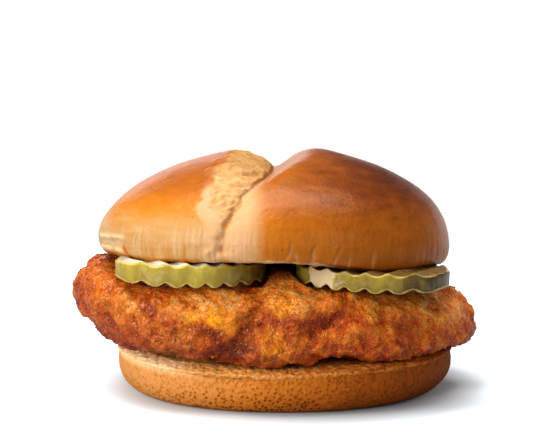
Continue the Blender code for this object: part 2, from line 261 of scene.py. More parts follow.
def new_group(name, kind, inputs, outputs):
    """A node group with named sockets, its input node and its output node."""
    tree = bpy.data.node_groups.new(name, kind)
    for label, socket, value in inputs:
        made = tree.interface.new_socket(label, in_out="INPUT", socket_type=socket)
        if value is not None:
            made.default_value = value
    for label, socket in outputs:
        tree.interface.new_socket(label, in_out="OUTPUT", socket_type=socket)
    return tree, tree.nodes.new("NodeGroupInput").outputs, tree.nodes.new("NodeGroupOutput").inputs


# %% Running a Geometry Nodes tree
def grown(name, tree, start, values):
    """The plain mesh that a Geometry Nodes tree makes from a starting mesh."""
    holder = bpy.data.objects.new(name, start or bpy.data.meshes.new(name))
    bpy.context.scene.collection.objects.link(holder)
    modifier = holder.modifiers.new(name, "NODES")
    modifier.node_group = tree
    for item in tree.interface.items_tree:
        if item.in_out == "INPUT" and item.name in values:
            modifier[item.identifier] = values[item.name]
    graph = bpy.context.evaluated_depsgraph_get()
    mesh = bpy.data.meshes.new_from_object(holder.evaluated_get(graph))
    holder.modifiers.remove(modifier)
    bpy.data.objects.remove(holder)
    return mesh


# %% [markdown]
# ## Bread, seen inside
# Where the bun is cut or torn, its crumb shows: a pale sponge of small bubbles that browns where it is
# toasted. The crown's tear and the heel's cut face both need it, so it is a node group that each
# material places with its own values.

# %% The crumb's node group
crumb_group, given, result = new_group(
    "Bread crumb",
    "ShaderNodeTree",
    [
        ("Place", "NodeSocketVector", None),
        ("Toast", "NodeSocketFloat", 0.0),
        ("Bubble size", "NodeSocketFloat", 0.0016),
        ("Contrast", "NodeSocketFloat", 0.3),
    ],
    [("Colour", "NodeSocketColor"), ("Height", "NodeSocketFloat")],
)
per_metre = calc(crumb_group, "DIVIDE", 1.0, given["Bubble size"])
warp = node(crumb_group, "ShaderNodeTexNoise", {"Vector": given["Place"], "Scale": per_metre, "Detail": 3.0})
bubbles = node(crumb_group, "ShaderNodeTexVoronoi", {"Vector": given["Place"], "Scale": per_metre})
sponge = calc(crumb_group, "MULTIPLY_ADD", warp.outputs[0], 1.1, calc(crumb_group, "MULTIPLY", bubbles.outputs[0], 0.5))
hollow = calc(crumb_group, "SUBTRACT", 0.8, sponge)
browning = calc(crumb_group, "MULTIPLY_ADD", hollow, given["Contrast"], given["Toast"])
colours = ramp(crumb_group, browning, (
    (0.0, (255, 224, 172)), (0.25, (246, 196, 136)), (0.5, (230, 158, 84)), (0.75, (176, 100, 38)), (1.0, (100, 48, 14)),
))
connect(crumb_group, result["Colour"], colours)
connect(crumb_group, result["Height"], sponge)

# %% [markdown]
# Both crusts have pores: tiny pits left by steam. They are the same effect at two sizes, so they are a
# node group too.

# %% The pores' node group
pores_group, given, result = new_group(
    "Crust pores",
    "ShaderNodeTree",
    [
        ("Place", "NodeSocketVector", None),
        ("Pore size", "NodeSocketFloat", 0.001),
        ("Amount", "NodeSocketFloat", 0.5),
    ],
    [("Height", "NodeSocketFloat"), ("Pit", "NodeSocketFloat")],
)
per_metre = calc(pores_group, "DIVIDE", 1.0, given["Pore size"])
grain = node(pores_group, "ShaderNodeTexNoise", {
    "Vector": given["Place"], "Scale": per_metre, "Detail": 2.0, "Roughness": 0.55,
})
dots = node(pores_group, "ShaderNodeTexVoronoi", {"Vector": given["Place"], "Scale": per_metre})
edge = calc(pores_group, "MULTIPLY", calc(pores_group, "MULTIPLY", given["Amount"], grain.outputs[0]), 1.1)
pit = remap(pores_group, dots.outputs["Distance"], edge, calc(pores_group, "MULTIPLY", edge, 0.45))
connect(pores_group, result["Pit"], pit)
connect(pores_group, result["Height"], calc(pores_group, "SUBTRACT", calc(pores_group, "MULTIPLY", grain.outputs[0], 0.6), pit))


def place_group(tree, group, inputs):
    return node(tree, "ShaderNodeGroup", inputs, node_tree=group).outputs


# %% [markdown]
# ## The crown
# The upper half of the bun is a dome that was brushed with egg and baked until it shone. It has torn
# open from behind its top to its front rim. A dome could be a sphere with a Boolean cut, but the tear's
# soft flanks and its ragged floor need every point moved by rule. So it is made as rings of points, and
# the rules of the CAD solid are used again, with finer ones on top.

# %% Sizes of the crown
CROWN_RADIUS, CROWN_HEIGHT, CROWN_WIDEST = 0.0528, 0.0330, 0.0050
CROWN_CUT_RADIUS = 0.0500
CROWN_LEVEL = 0.034  # the dome is level although its cut face leans
TEAR_X, TEAR_BACK_Y, TEAR_FRONT_Y, TEAR_SWING = -0.0009, 0.0390, -0.0505, 0.0150
TEAR_DEPTHS = (0.0056, 0.0014)  # behind, and at the rim
TEAR_LEFT_WIDTHS, TEAR_RIGHT_WIDTHS = (0.0058, 0.0020), (0.0062, 0.0026)
CROWN_SAG = ((-121.0, 0.0006), (-56.0, 0.0012))
CROWN_SOFT_SAG = ((-138.0, 0.0007), (-46.0, 0.0010))  # the soft rim settles on the slices
SAG_SPREAD = 19.0


def crown_rings(dome_rows=150, corner_rows=18, face_rows=20, around=480):
    """Rings of a plain dome on its cut face, closer together at the front, where the detail is."""
    quarter = np.pi / 2
    down = quarter * np.linspace(0, 1, dome_rows)
    under = quarter * np.linspace(0, 1, corner_rows + 1)[1:]
    inward = np.linspace(1, 0, face_rows + 1)[1:]
    radius = np.concatenate([
        CROWN_RADIUS * np.sin(down),
        blend(CROWN_RADIUS, CROWN_CUT_RADIUS, 1 - np.cos(under)),
        CROWN_CUT_RADIUS * inward,
    ])
    height = np.concatenate([
        blend(CROWN_WIDEST, CROWN_HEIGHT, np.cos(down)),
        CROWN_WIDEST * (1 - np.sin(under)),
        0 * inward,
    ])
    even = np.linspace(0, 2 * np.pi, around, endpoint=False)
    angle = even - 0.32 * np.sin(even + quarter)
    x, y = np.outer(radius, np.cos(angle)), np.outer(radius, np.sin(angle))
    return np.stack([x, y, np.repeat(height[:, None], around, axis=1)], axis=-1)


rings = crown_rings()
x, y, z = rings[..., 0], rings[..., 1], rings[..., 2]
angle = np.arctan2(y, x)
outward = np.hypot(x, y) / CROWN_RADIUS
flat_points = rings.reshape(-1, 3)
print("crown rings:", rings.shape[:2])

# %% [markdown]
# The tear follows a line that runs forward and then swings to the left. Every point gets two numbers:
# how far along the tear it lies, and how far to its right. The left side is torn crumb that falls
# steeply to the crease. The right side is a smooth flank where the crust stretched and stayed pale.

# %% The tear
def field(size, seed, octaves=1, stretch=(1, 1, 1)):
    """Noise over the crown's points, kept in the shape of its rings."""
    return lumps(flat_points / np.array(stretch), size, seed, octaves).reshape(x.shape)


forward = np.maximum(y / TEAR_FRONT_Y, 0.0)
jagged = 0.0007 * field(0.0034, 2) * ease(0.55, 0.9, forward) + 0.0007 * field(0.0015, 24, 2) * ease(0.88, 0.96, forward)
tear_line = TEAR_X - TEAR_SWING * forward ** 4 + 0.0013 * ease(0.86, 0.95, forward) + jagged
tear_slope = 4 * TEAR_SWING * forward ** 3 / TEAR_FRONT_Y
share = (TEAR_BACK_Y - y) / (TEAR_BACK_Y - TEAR_FRONT_Y)
across = (x - tear_line) / np.hypot(1.0, tear_slope)
along = ease(0.60, 1.0, share)
open_tear = ease(0.0, 0.32, share)

left_width = blend(*TEAR_LEFT_WIDTHS, along)
right_width = blend(*TEAR_RIGHT_WIDTHS, along)
sink = np.where(across < 0, np.exp(np.minimum(across, 0) / left_width), bell(across, right_width))
tear_drop = blend(*TEAR_DEPTHS, along) * open_tear * sink
tear_drop -= 0.0006 * bell(np.abs(across) - 2.3 * np.where(across < 0, left_width, right_width), left_width) * (1 - along)

# Width of the torn crumb to the left of the crease, read along the tear from its back to the rim
crumb_y = (-0.0515, -0.0490, -0.0470, -0.0450, -0.0425, -0.0400, -0.0350, -0.0280, -0.0150, 0.0, 0.0200, 0.0360)
crumb_width = (0.0003, 0.0012, 0.0036, 0.0060, 0.0082, 0.0100, 0.0130, 0.0140, 0.0128, 0.0100, 0.0045, 0.0)
ragged = 1 + 0.16 * field(0.0060, 3) + 0.10 * field(0.0022, 4)
crumb_edge = -np.interp(y, crumb_y, crumb_width) * ragged
on_top = ease(0.0, 0.0012, z)
fuzz = blend(0.0046, 0.0009, ease(0.74, 0.90, share))
torn = ease(crumb_edge - fuzz, crumb_edge + fuzz, across) * (1 - ease(-0.0018, 0.0006, across))
torn *= ease(0.02, 0.10, share) * on_top
print(f"torn share of the crown's points: {torn.mean():.3f}")

# %% [markdown]
# Torn bread is stringy: the crumb stretches into flakes and threads across the tear before it breaks.
# Noise that is squeezed along the tear gives the threads, a finer one the flakes, and cells the bubbles
# between them. The crust's edge stands a little proud of the crumb.

# %% Relief of the torn crumb and of the crust
threads = 1 - 2 * np.abs(field(0.0036, 5, 2, stretch=(2.0, 1.0, 1.2)))
flakes = 1 - 2 * np.abs(field(0.0012, 6))
bubbles = cells(flat_points, 0.0027, 7).reshape(x.shape) - 0.45
inside = ease(crumb_edge - 0.3 * fuzz, crumb_edge + 1.2 * fuzz, across) * (across < 0.0012)
crumb_relief = 0.0010 * threads + 0.00020 * flakes + 0.0008 * bubbles - 0.0003 - 0.0006 * inside
crust_lip = 0.0004 * bell(across - crumb_edge + 0.0012, 0.0020) * ease(0.40, 0.60, share)
crevice = bell(across + 0.0004, 0.00045) * np.clip(1 + 1.2 * field(0.0024, 20), 0, 2)
crevice *= blend(0.0002, 0.0005, ease(0.90, 0.97, share))
slow = 0.00035 * field(0.020, 8) + 0.00012 * field(0.0075, 9)


def skin_noise(turn, tall, seed):
    """Noise over the crown's skin whose lumps are so many degrees wide and so tall."""
    spread = np.stack([np.degrees(angle) / turn, z / tall, 0 * x], axis=-1)
    return lumps(spread.reshape(-1, 3), 1.0, seed).reshape(x.shape)


low_skin = ease(0.016, 0.004, z) * ease(0.85, 0.98, outward)
upright = skin_noise(1.3, 0.010, 10) * low_skin
level = skin_noise(8.0, 0.0012, 17) * ease(0.30, 0.65, outward)
wrinkles = 0.00011 * upright + 0.00006 * level
dent = 0.0005 * bell(x - 0.0175, 0.0017) * bell(y + 0.0110, 0.0010)
crust_height = slow * ease(0.0, 0.004, z) + wrinkles + crust_lip - crevice - dent + torn * crumb_relief

# %% [markdown]
# Low on the crown the skin is creased: short cracks climb from the rim, pale inside, and the front left
# corner is pinched into two lips. The cracks that show at the front are placed by angle. The others are
# drawn at random round the back, from a fixed seed.

# %% Creases and the pinched corner
cracks = [(-86.0, 0.0075, 4.0), (-82.5, 0.0050, -6.0), (-78.5, 0.0072, 5.0), (-70.8, 0.0068, 7.0), (-66.0, 0.0046, 3.0),
          (-57.0, 0.0070, 0.0), (-37.0, 0.0060, 5.0), (-32.5, 0.0078, 4.0), (-28.0, 0.0066, -3.0), (-24.0, 0.0058, 4.0),
          (-118.0, 0.0050, -4.0), (-130.0, 0.0060, 3.0)]
draw = np.random.default_rng(21)
cracks += [(place, draw.uniform(0.003, 0.008), draw.uniform(-7, 7)) for place in draw.uniform(-15, 195, 26)]
degrees = np.degrees(angle)


def turn_from(place):
    return (degrees - place + 180) % 360 - 180


cracked = np.zeros_like(x)
bend = 0.0014 * field(0.0022, 27)
for place, tall, lean in cracks:
    middle = turn_from(place) - 0.4 * lean * z / 0.008 + 500 * bend
    cracked = np.maximum(cracked, bell(middle, 0.65) * ease(tall, 0.4 * tall, z) * ease(-0.001, 0.001, z))
cracked *= on_top * 0.9
pinch_arc = ease(-143.5, -151.0, degrees + 1.5 * level) * ease(-176.0, -164.0, degrees)
pinch = pinch_arc * bell(z - 0.0040 + 0.0006 * field(0.0040, 22), 0.0010)
torn_lip = np.clip(1 + 1.0 * field(0.0045, 18), 0, 2)
lips = pinch_arc * (bell(z - 0.0064 + 0.0008 * torn_lip, 0.0010) + bell(z - 0.0019, 0.0009)) * torn_lip
# A small notch below the pinched lips, with painted shade: it is dented and painted brown.
mark = bell(turn_from(-146.8) + 700 * (z - 0.0020), 0.9) * bell(z - 0.0018, 0.0019)
flap = bell(turn_from(-111.0) - 500 * (z - 0.0024), 1.1) * bell(z - 0.0024, 0.0012) * (1 + 0.8 * field(0.0014, 19))
# Painted shade below the torn flap: a small dip, painted browner.
under_flap = bell(turn_from(-108.6) - 500 * (z - 0.0022), 0.8) * bell(z - 0.0022, 0.0014)

# %% Shape the crown
ellipsoid = np.stack([x / CROWN_RADIUS ** 2, y / CROWN_RADIUS ** 2, z / CROWN_HEIGHT ** 2], axis=-1)
skin = ellipsoid / np.linalg.norm(ellipsoid, axis=-1, keepdims=True)
radial = np.stack([np.cos(angle), np.sin(angle), 0 * x], axis=-1)
lifted = crust_height - 0.00050 * cracked + 0.0010 * flap - 0.0006 * under_flap - tear_drop
shaped = rings + skin * (ease(0.0003, 0.0040, z) * lifted)[..., None]
uneven = 0.0005 * np.sin(3 * angle + 0.4) * ease(0.3, 1.0, outward)
uneven += 0.0004 * bell(turn_from(180.0), 40.0) * bell(z - 0.012, 0.009)
uneven -= 0.0004 * bell(turn_from(0.0), 40.0) * bell(z - 0.017, 0.008)
shaped += radial * (uneven - 0.0009 * pinch + 0.0005 * lips - 0.0006 * mark)[..., None]
shaped[..., 2] += CROWN_LEVEL * x * ease(0.0, CROWN_HEIGHT / 2, z)
rim = (1 - ease(0.0, 0.010, z)) * ease(0.7, 0.95, outward)
for place, drop in CROWN_SAG + CROWN_SOFT_SAG:
    shaped[..., 2] -= drop * rim * bell(turn_from(place), SAG_SPREAD)
ragged_rim = 0.00035 * field(0.0024, 11) + 0.0003 * field(0.009, 12)
shaped[..., 2] += ragged_rim * (1 - ease(0.0, 0.0015, z)) * ease(0.86, 0.93, outward)
shaped[..., 2] += 0.0003 * (cells(flat_points, 0.002, 13).reshape(x.shape) - 0.5) * (z < 1e-6)

# %% [markdown]
# ### Colours of the crown
# An egg-washed crust browns by how hot it got: pale peach low on the sides, orange over the shoulders,
# deep brown where it was nearest the heat. That is one number, the browning, painted on the points; at
# a small notch and below a torn flap it also holds painted shade. The shader turns it into colours. A
# second number is how pale and stretched the skin is, and a third marks the bare crumb.

# %% Paint the crown
high = ease(0.12, 0.72, z / CROWN_HEIGHT)
left_bake = blend(0.22, 0.76, ease(0.22, 0.74, z / CROWN_HEIGHT))
right_bake = blend(0.64, 0.78, high) + 0.20 * ease(0.000, 0.034, x) * blend(0.30, 1.0, high)
bake = blend(left_bake, right_bake, ease(-0.002, 0.014, across))
back_bake = 0.60 + 0.12 * field(0.030, 14)
bake = blend(bake, back_bake, ease(-0.010, 0.030, y))
bake += 0.03 * field(0.016, 15) + 0.03 * field(0.005, 16) + 0.05 * upright + 0.04 * level + 300 * dent
flank_x = np.interp(y, (-0.053, -0.045, -0.036, -0.020, 0.0, 0.030), (-0.0036, -0.0040, -0.0025, 0.0002, 0.0012, 0.0005))
flank = (1 - ease(flank_x - 0.0055, flank_x + 0.0040, x)) * ease(-0.0004, 0.0006, across)
left_lip = ease(crumb_edge - 0.0048, crumb_edge - 0.0022, across) * (across < 0)
left_pale = blend(0.15, 1.0, ease(0.82, 0.90, share)) * left_lip
pale = np.clip(0.92 * flank * open_tear + left_pale * open_tear, 0, 1)
pale = np.maximum(pale, 0.60 * cracked)
crease_brown = bell(across + 0.0006, 0.0011) * ease(0.93, 0.97, share) * np.clip(0.4 + 1.2 * field(0.0022, 25), 0, 1)
torn = torn * (1 - 0.7 * crease_brown)
pale = pale * (1 - 0.7 * crease_brown)
bake += 0.20 * crease_brown
cream = np.clip(1.0 * lips + 0.60 * pinch - 1.5 * mark, 0, 1) * on_top
cream = np.clip(np.maximum(cream, 0.4 * flap), 0, 1)
cut_lip = (1 - ease(0.0004, 0.0013, z + ragged_rim)) * ease(0.9, 0.95, outward)
cream_lip = 0.7 * cut_lip * ease(-101, -94, degrees) * ease(-66, -76, degrees) * (1 + 0.6 * field(0.0030, 23))
bake += 0.30 * cut_lip + 0.45 * mark + 0.30 * under_flap
torn = np.maximum(torn, cream_lip)
cut_face = ease(0.0003, 0.0, z) * ease(0.955, 0.93, outward)

crown_mesh = ring_mesh("crown_bread", shaped)
torn = np.maximum(torn, cut_face)
for name, values in (
    ("bake", bake), ("pale", pale), ("torn", torn), ("cut", cut_face), ("cream", cream), ("tall", z / CROWN_HEIGHT),
):
    paint(crown_mesh, name, one_per_point(values))
crown_mesh.transform(CROWN_PLACE)

# %% [markdown]
# The crust's material reads those three numbers. Noise varies the browning a little, so that no edge is
# clean. Gloss comes from a low roughness and a thin coat. The crumb is rough, and painted shade darkens
# it high in the tear. A little subsurface scattering lets light through the thin pale parts.

# %% The crown's material
crown_crust, tree, shader, place = new_material(
    "crown_crust", coat_weight=0.05, coat_roughness=0.20, subsurface_weight=0.08,
    subsurface_radius=(0.004, 0.0018, 0.0008), subsurface_scale=0.4, specular_ior_level=0.16,
    specular_tint=(1.0, 0.88, 0.74, 1.0),
)
axes = node(tree, "ShaderNodeSeparateXYZ", {0: place}).outputs
bearing = calc(tree, "ARCTAN2", axes["X"], calc(tree, "MULTIPLY", axes["Y"], -1.0))
arc = calc(tree, "MULTIPLY", bearing, CROWN_RADIUS)
upright_place = node(tree, "ShaderNodeCombineXYZ", {"X": arc, "Z": calc(tree, "MULTIPLY", axes["Z"], 0.12)})
level_place = node(tree, "ShaderNodeCombineXYZ", {"X": calc(tree, "MULTIPLY", arc, 0.14), "Z": axes["Z"]})
upright = calc(tree, "SUBTRACT", noise_value(tree, upright_place.outputs[0], 0.0016, 4.0, 0.6), 0.5)
level = calc(tree, "SUBTRACT", noise_value(tree, level_place.outputs[0], 0.0012, 2.0, 0.6), 0.5)
low_down = remap(tree, attribute(tree, "tall"), 0.45, 0.10)
left_end = remap(tree, axes["X"], -0.026, -0.044)
in_groups = remap(tree, noise_value(tree, place, 0.0080, 2.0), 0.40, 0.60, 0.5, 1.5)
wrinkled = calc(tree, "MULTIPLY", calc(tree, "MULTIPLY", upright, low_down), in_groups)
wrinkled = calc(tree, "MULTIPLY_ADD", level, calc(tree, "MULTIPLY_ADD", left_end, 0.30, 0.12), wrinkled)
wrinkled = calc(tree, "MULTIPLY", wrinkled, remap(tree, axes["X"], 0.006, -0.020, 0.40, 1.6))

mottle = calc(tree, "SUBTRACT", noise_value(tree, place, 0.0045, 4.0, 0.6), 0.5)
speckle = calc(tree, "SUBTRACT", noise_value(tree, place, 0.0009, 2.0), 0.5)
baked = calc(tree, "MULTIPLY_ADD", mottle, 0.12, attribute(tree, "bake"))
baked = calc(tree, "MULTIPLY_ADD", speckle, 0.10, baked)
baked = calc(tree, "MULTIPLY_ADD", wrinkled, 0.40, baked)
crust_colour = ramp(tree, baked, (
    (0.0, (236, 198, 146)), (0.25, (218, 162, 95)), (0.45, (219, 136, 36)), (0.60, (212, 118, 16)),
    (0.75, (188, 98, 15)), (0.90, (138, 62, 8)), (1.0, (100, 40, 4)),
))
stretched = calc(tree, "MULTIPLY_ADD", wrinkled, -0.5, calc(tree, "MULTIPLY", attribute(tree, "pale"), 0.85))
crust_colour = mix_colour(tree, remap(tree, stretched, 0.05, 0.90), crust_colour, lit(236, 181, 126))
crust_colour = mix_colour(tree, attribute(tree, "cream"), crust_colour, lit(244, 214, 158))
specks = remap(tree, cell_distance(tree, place, 0.0042), 0.05, 0.085, 0.45, 0.0)
crust_colour = mix_colour(tree, specks, crust_colour, lit(96, 44, 14))

crumb = place_group(tree, crumb_group, {
    "Place": place, "Toast": calc(tree, "MULTIPLY_ADD", attribute(tree, "cut"), 0.28, 0.38), "Bubble size": 0.0030,
    "Contrast": 0.34,
})
# Painted shade: the crumb high in the tear, where it lies deepest, is mixed towards a darker tan.
on_top = remap(tree, attribute(tree, "tall"), 0.70, 0.88, 0.0, 0.70)
crumb_colour = mix_colour(tree, on_top, crumb["Colour"], lit(200, 146, 78))
bare = remap(tree, calc(tree, "MULTIPLY_ADD", speckle, 0.4, attribute(tree, "torn")), 0.10, 0.90)
connect(tree, shader.inputs["Base Color"], mix_colour(tree, bare, crust_colour, crumb_colour))
dull = calc(tree, "MULTIPLY", calc(tree, "MAXIMUM", attribute(tree, "pale"), attribute(tree, "cream")), 0.6)
dull = calc(tree, "MAXIMUM", bare, dull)
connect(tree, shader.inputs["Roughness"], remap(tree, dull, 0.0, 1.0, 0.32, 0.85))
pores = place_group(tree, pores_group, {"Place": place, "Pore size": 0.0016, "Amount": 0.1})
creases = noise_value(tree, place, 0.0024, 4.0, 0.6)
skin_height = calc(tree, "MULTIPLY_ADD", pores["Height"], 0.15, creases)
skin_height = calc(tree, "MULTIPLY_ADD", wrinkled, 1.2, skin_height)
smooth_bump = bump(tree, skin_height, 0.00030)
crumb_height = calc(tree, "MULTIPLY", crumb["Height"], bare)
connect(tree, shader.inputs["Normal"], bump(tree, crumb_height, 0.0007, 1.0, smooth_bump))
finish_piece("crown_bread", crown_mesh, crown_crust, "crown_crust", "crown")

# %% [markdown]
# ## The heel
# The lower half of the bun sat on the baking tray, so its side is matt and finely pitted, and its foot
# is flat. The cut face was toasted. It is turned like the crown, from a profile of named heights.

# %% Sizes of the heel
HEEL_RADIUS, HEEL_FOOT_RADIUS = 0.0500, 0.0433
HEEL_RIM, HEEL_SHOULDER = 0.0507, 0.0055
HEEL_PROFILE = [(0.0, 0.0140), (0.0175, 0.0139), (0.0325, 0.0138), (0.0452, 0.0136), (0.0485, 0.0131),
                (0.0507, 0.0122), (0.0497, 0.0113), (0.0500, 0.0088)]
HEEL_PROFILE += [
    (blend(HEEL_RADIUS, HEEL_FOOT_RADIUS, 1 - math.cos(math.pi / 2 * i / 8)), 0.0088 * (1 - math.sin(math.pi / 2 * i / 8)))
    for i in range(1, 9)
]
HEEL_PROFILE += [(0.0250, 0.0), (0.0, 0.0)]


def along_profile(profile, spacings):
    """Points along a profile, each stretch between given radii sampled at its own spacing."""
    profile = np.array(profile)
    length = np.concatenate([[0], np.cumsum(np.linalg.norm(np.diff(profile, axis=0), axis=1))])
    marks = [0.0]
    for end, spacing in spacings:
        count = max(1, round((length[end] - marks[-1]) / spacing))
        marks += np.linspace(marks[-1], length[end], count + 1)[1:].tolist()
    return np.interp(marks, length, profile[:, 0]), np.interp(marks, length, profile[:, 1])


radius, height = along_profile(HEEL_PROFILE, [(2, 0.0022), (3, 0.0012), (15, 0.00042), (17, 0.0025)])
for _ in range(3):
    radius[1:-1] = (radius[:-2] + 2 * radius[1:-1] + radius[2:]) / 4
    height[1:-1] = (height[:-2] + 2 * height[1:-1] + height[2:]) / 4
height = np.maximum(height, 0.0)
even = np.linspace(0, 2 * np.pi, 720, endpoint=False)
angle = even - 0.25 * np.sin(even + np.pi / 2)
rings = np.stack([
    np.outer(radius, np.cos(angle)), np.outer(radius, np.sin(angle)), np.repeat(height[:, None], len(angle), axis=1)
], axis=-1)
x, y, z = rings[..., 0], rings[..., 1], rings[..., 2]
angle = np.arctan2(y, x)
flat_points = rings.reshape(-1, 3)
outward = np.hypot(x, y) / HEEL_RADIUS
row = np.repeat(np.arange(len(radius))[:, None], x.shape[1], axis=1)
rim_row = int(np.argmax(radius))
print("heel rings:", rings.shape[:2])

# %% Shape and paint the heel
above = (row <= rim_row).astype(float)
crease_z = 0.0113 + 0.0004 * np.sin(2 * angle + 1.0) + 0.0005 * field(0.012, 31)
on_face = np.where(row < rim_row, 1.0, ease(crease_z - 0.0001, crease_z + 0.0003, z))
side = (1 - on_face) * ease(0.0, 0.0015, z)
side_step = ease(0.6, 1.0, outward)
uneven = side_step * (0.0005 * np.sin(2 * angle + 0.7) + 0.0003 * np.sin(5 * angle))
pits = ease(0.30, 0.62, cells(flat_points, 0.00125, 32).reshape(x.shape))
dimples = 0.00010 * field(0.0010, 33) - 0.00012 * (1 - pits)
crumbly = 0.00034 * field(0.0017, 34, 2) + 0.0003 * (0.5 - cells(flat_points, 0.0022, 35).reshape(x.shape))
crumbly *= ease(0.55, 0.9, outward) * on_face
radial = np.stack([np.cos(angle), np.sin(angle), 0 * x], axis=-1)
groove = 0.0002 * bell(z - crease_z, 0.0004) * ease(0.9, 0.98, outward)
shaped = rings + radial * (uneven + side * (dimples + 0.0003 * field(0.012, 36)) - groove + 0.6 * crumbly * above)[..., None]
shaped[..., 2] += crumbly * ease(0.30, 0.9, outward)
on_crust = ease(0.0, 0.0088, z) * side_step
shaped[..., 2] -= on_crust * 0.00025 * (1 + np.sin(3 * angle + 1.0))
heel_mesh = ring_mesh("heel_bread", shaped)
degrees = np.degrees(angle)
ends_smooth = ease(-134, -118, degrees) * ease(-8, -40, degrees) + ease(0, 20, degrees) * ease(180, 165, degrees)
bare_face = on_face * np.clip(np.maximum(ends_smooth, ease(0.94, 0.89, outward)), 0, 1)
crease = bell(z - crease_z, 0.00035) * (outward > 0.9) * ease(-150, -138, degrees) * ease(-96, -108, degrees)
# Painted light: the heel's upper left shoulder, in the fillet's shade, is marked to be painted bright peach.
band = ease(-112, -136, degrees) * ease(-180, -166, degrees) * ease(0.0095, 0.0125, z)
for name, values in (("bare", bare_face), ("crease", crease), ("band", band)):
    paint(heel_mesh, name, one_per_point(values))
heel_mesh.transform(HEEL_PLACE)

# %% [markdown]
# The side's colour goes from a warm orange to brown pits. It is darker at the foot, where it touched
# the tray, and darker to the right, partly where it baked longer and partly as painted shade; the cut
# face's crumb is painted darker to the right too. The crease above it is a thin brown line.

# %% The heel's material
heel_crust, tree, shader, place = new_material(
    "heel_crust", subsurface_weight=0.10, subsurface_radius=(0.004, 0.0018, 0.0008), subsurface_scale=0.5,
    specular_ior_level=0.08, specular_tint=(1.0, 0.88, 0.74, 1.0),
)
axes = node(tree, "ShaderNodeSeparateXYZ", {0: place}).outputs
mottle = calc(tree, "SUBTRACT", noise_value(tree, place, 0.007, 3.0), 0.5)
suede = place_group(tree, pores_group, {"Place": place, "Pore size": 0.0012, "Amount": 0.9})
low_down = remap(tree, axes["Z"], 0.0095, 0.0015)
# Darker to the right: partly longer baking, partly painted shade. It darkens the side and the cut face.
to_right = remap(tree, axes["X"], -0.042, 0.046)
middle = remap(tree, calc(tree, "ABSOLUTE", calc(tree, "ADD", axes["X"], 0.012)), 0.036, 0.010)
strength = calc(tree, "MULTIPLY_ADD", calc(tree, "MULTIPLY", low_down, middle), 0.22, 0.08)
pitted = calc(tree, "MULTIPLY", suede["Pit"], strength)
pitted = calc(tree, "MULTIPLY_ADD", calc(tree, "SUBTRACT", noise_value(tree, place, 0.0007), 0.5), 0.20, pitted)
baked = calc(tree, "ADD", calc(tree, "MULTIPLY_ADD", mottle, 0.10, 0.26), pitted)
baked = calc(tree, "MULTIPLY_ADD", to_right, 0.40, calc(tree, "MULTIPLY_ADD", low_down, 0.06, baked))
side_colour = ramp(tree, baked, (
    (0.0, (255, 202, 136)), (0.25, (252, 172, 92)), (0.45, (232, 134, 38)), (0.62, (192, 94, 18)),
    (0.80, (140, 62, 12)), (1.0, (88, 38, 8)),
))
side_colour = mix_colour(tree, calc(tree, "MULTIPLY", attribute(tree, "crease"), 0.4), side_colour, lit(140, 72, 26))
# Painted light: a peach brighter than the crust's own colour, on the left shoulder.
sunlit = tuple(1.55 * c for c in lit(255, 206, 150)[:3]) + (1.0,)
side_colour = mix_colour(tree, attribute(tree, "band"), side_colour, sunlit)
toast = calc(tree, "MULTIPLY_ADD", to_right, 0.42, 0.20)
crumb = place_group(tree, crumb_group, {"Place": place, "Toast": toast, "Bubble size": 0.0016, "Contrast": 0.75})
bare = attribute(tree, "bare")
toasted = mix_colour(tree, 1.0, crumb["Colour"], (1.22, 0.86, 0.46, 1.0), "MULTIPLY")
connect(tree, shader.inputs["Base Color"], mix_colour(tree, bare, side_colour, toasted))
connect(tree, shader.inputs["Roughness"], remap(tree, bare, 0.0, 1.0, 0.62, 0.88))
side_bump = bump(tree, suede["Height"], 0.00022)
connect(tree, shader.inputs["Normal"], bump(tree, calc(tree, "MULTIPLY", crumb["Height"], bare), 0.0003, 1.0, side_bump))
finish_piece("heel_bread", heel_mesh, heel_crust, "heel_crust", "heel")

# %% [markdown]
# ## The pickle slices
# A crinkle cutter leaves the same wave on both faces of a slice, so the whole piece follows one rule.
# That is work for Geometry Nodes: a cylinder with many rings is bent by a cosine, pulled slightly out
# of round, and thinned at its edge. Both slices run the same tree with their own sizes.

# %% The slice's Geometry Nodes tree
slice_tree, given, result = new_group(
    "Crinkle-cut slice",
    "GeometryNodeTree",
    [
        ("Radius", "NodeSocketFloat", 0.022),
        ("Thickness", "NodeSocketFloat", 0.0047),
        ("Wave height", "NodeSocketFloat", 0.00065),
        ("Wave length", "NodeSocketFloat", 0.0055),
        ("Crest", "NodeSocketFloat", 0.0),
        ("Out of round", "NodeSocketFloat", 0.008),
        ("Seed", "NodeSocketFloat", 1.0),
        ("Finish", "NodeSocketMaterial", None),
    ],
    [("Geometry", "NodeSocketGeometry")],
)
blank = node(slice_tree, "GeometryNodeMeshCylinder", {
    "Vertices": 260, "Side Segments": 12, "Fill Segments": 44,
    "Radius": given["Radius"], "Depth": given["Thickness"],
}, fill_type="TRIANGLE_FAN")
position = slice_tree.nodes.new("GeometryNodeInputPosition").outputs[0]
parts = node(slice_tree, "ShaderNodeSeparateXYZ", {0: position}).outputs
from_axis = calc(slice_tree, "SQRT", calc(
    slice_tree, "ADD", calc(slice_tree, "POWER", parts["X"], 2.0), calc(slice_tree, "POWER", parts["Y"], 2.0)
))
out_share = calc(slice_tree, "DIVIDE", from_axis, given["Radius"])
bearing = calc(slice_tree, "ARCTAN2", parts["Y"], parts["X"])
two_lobes = calc(slice_tree, "SINE", calc(slice_tree, "MULTIPLY_ADD", bearing, 2.0, 0.5))
five_lobes = calc(slice_tree, "SINE", calc(slice_tree, "MULTIPLY", bearing, 5.0))
lobes = calc(slice_tree, "MULTIPLY_ADD", five_lobes, 0.6, two_lobes)
stretch = calc(slice_tree, "MULTIPLY_ADD", lobes, given["Out of round"], 1.0)
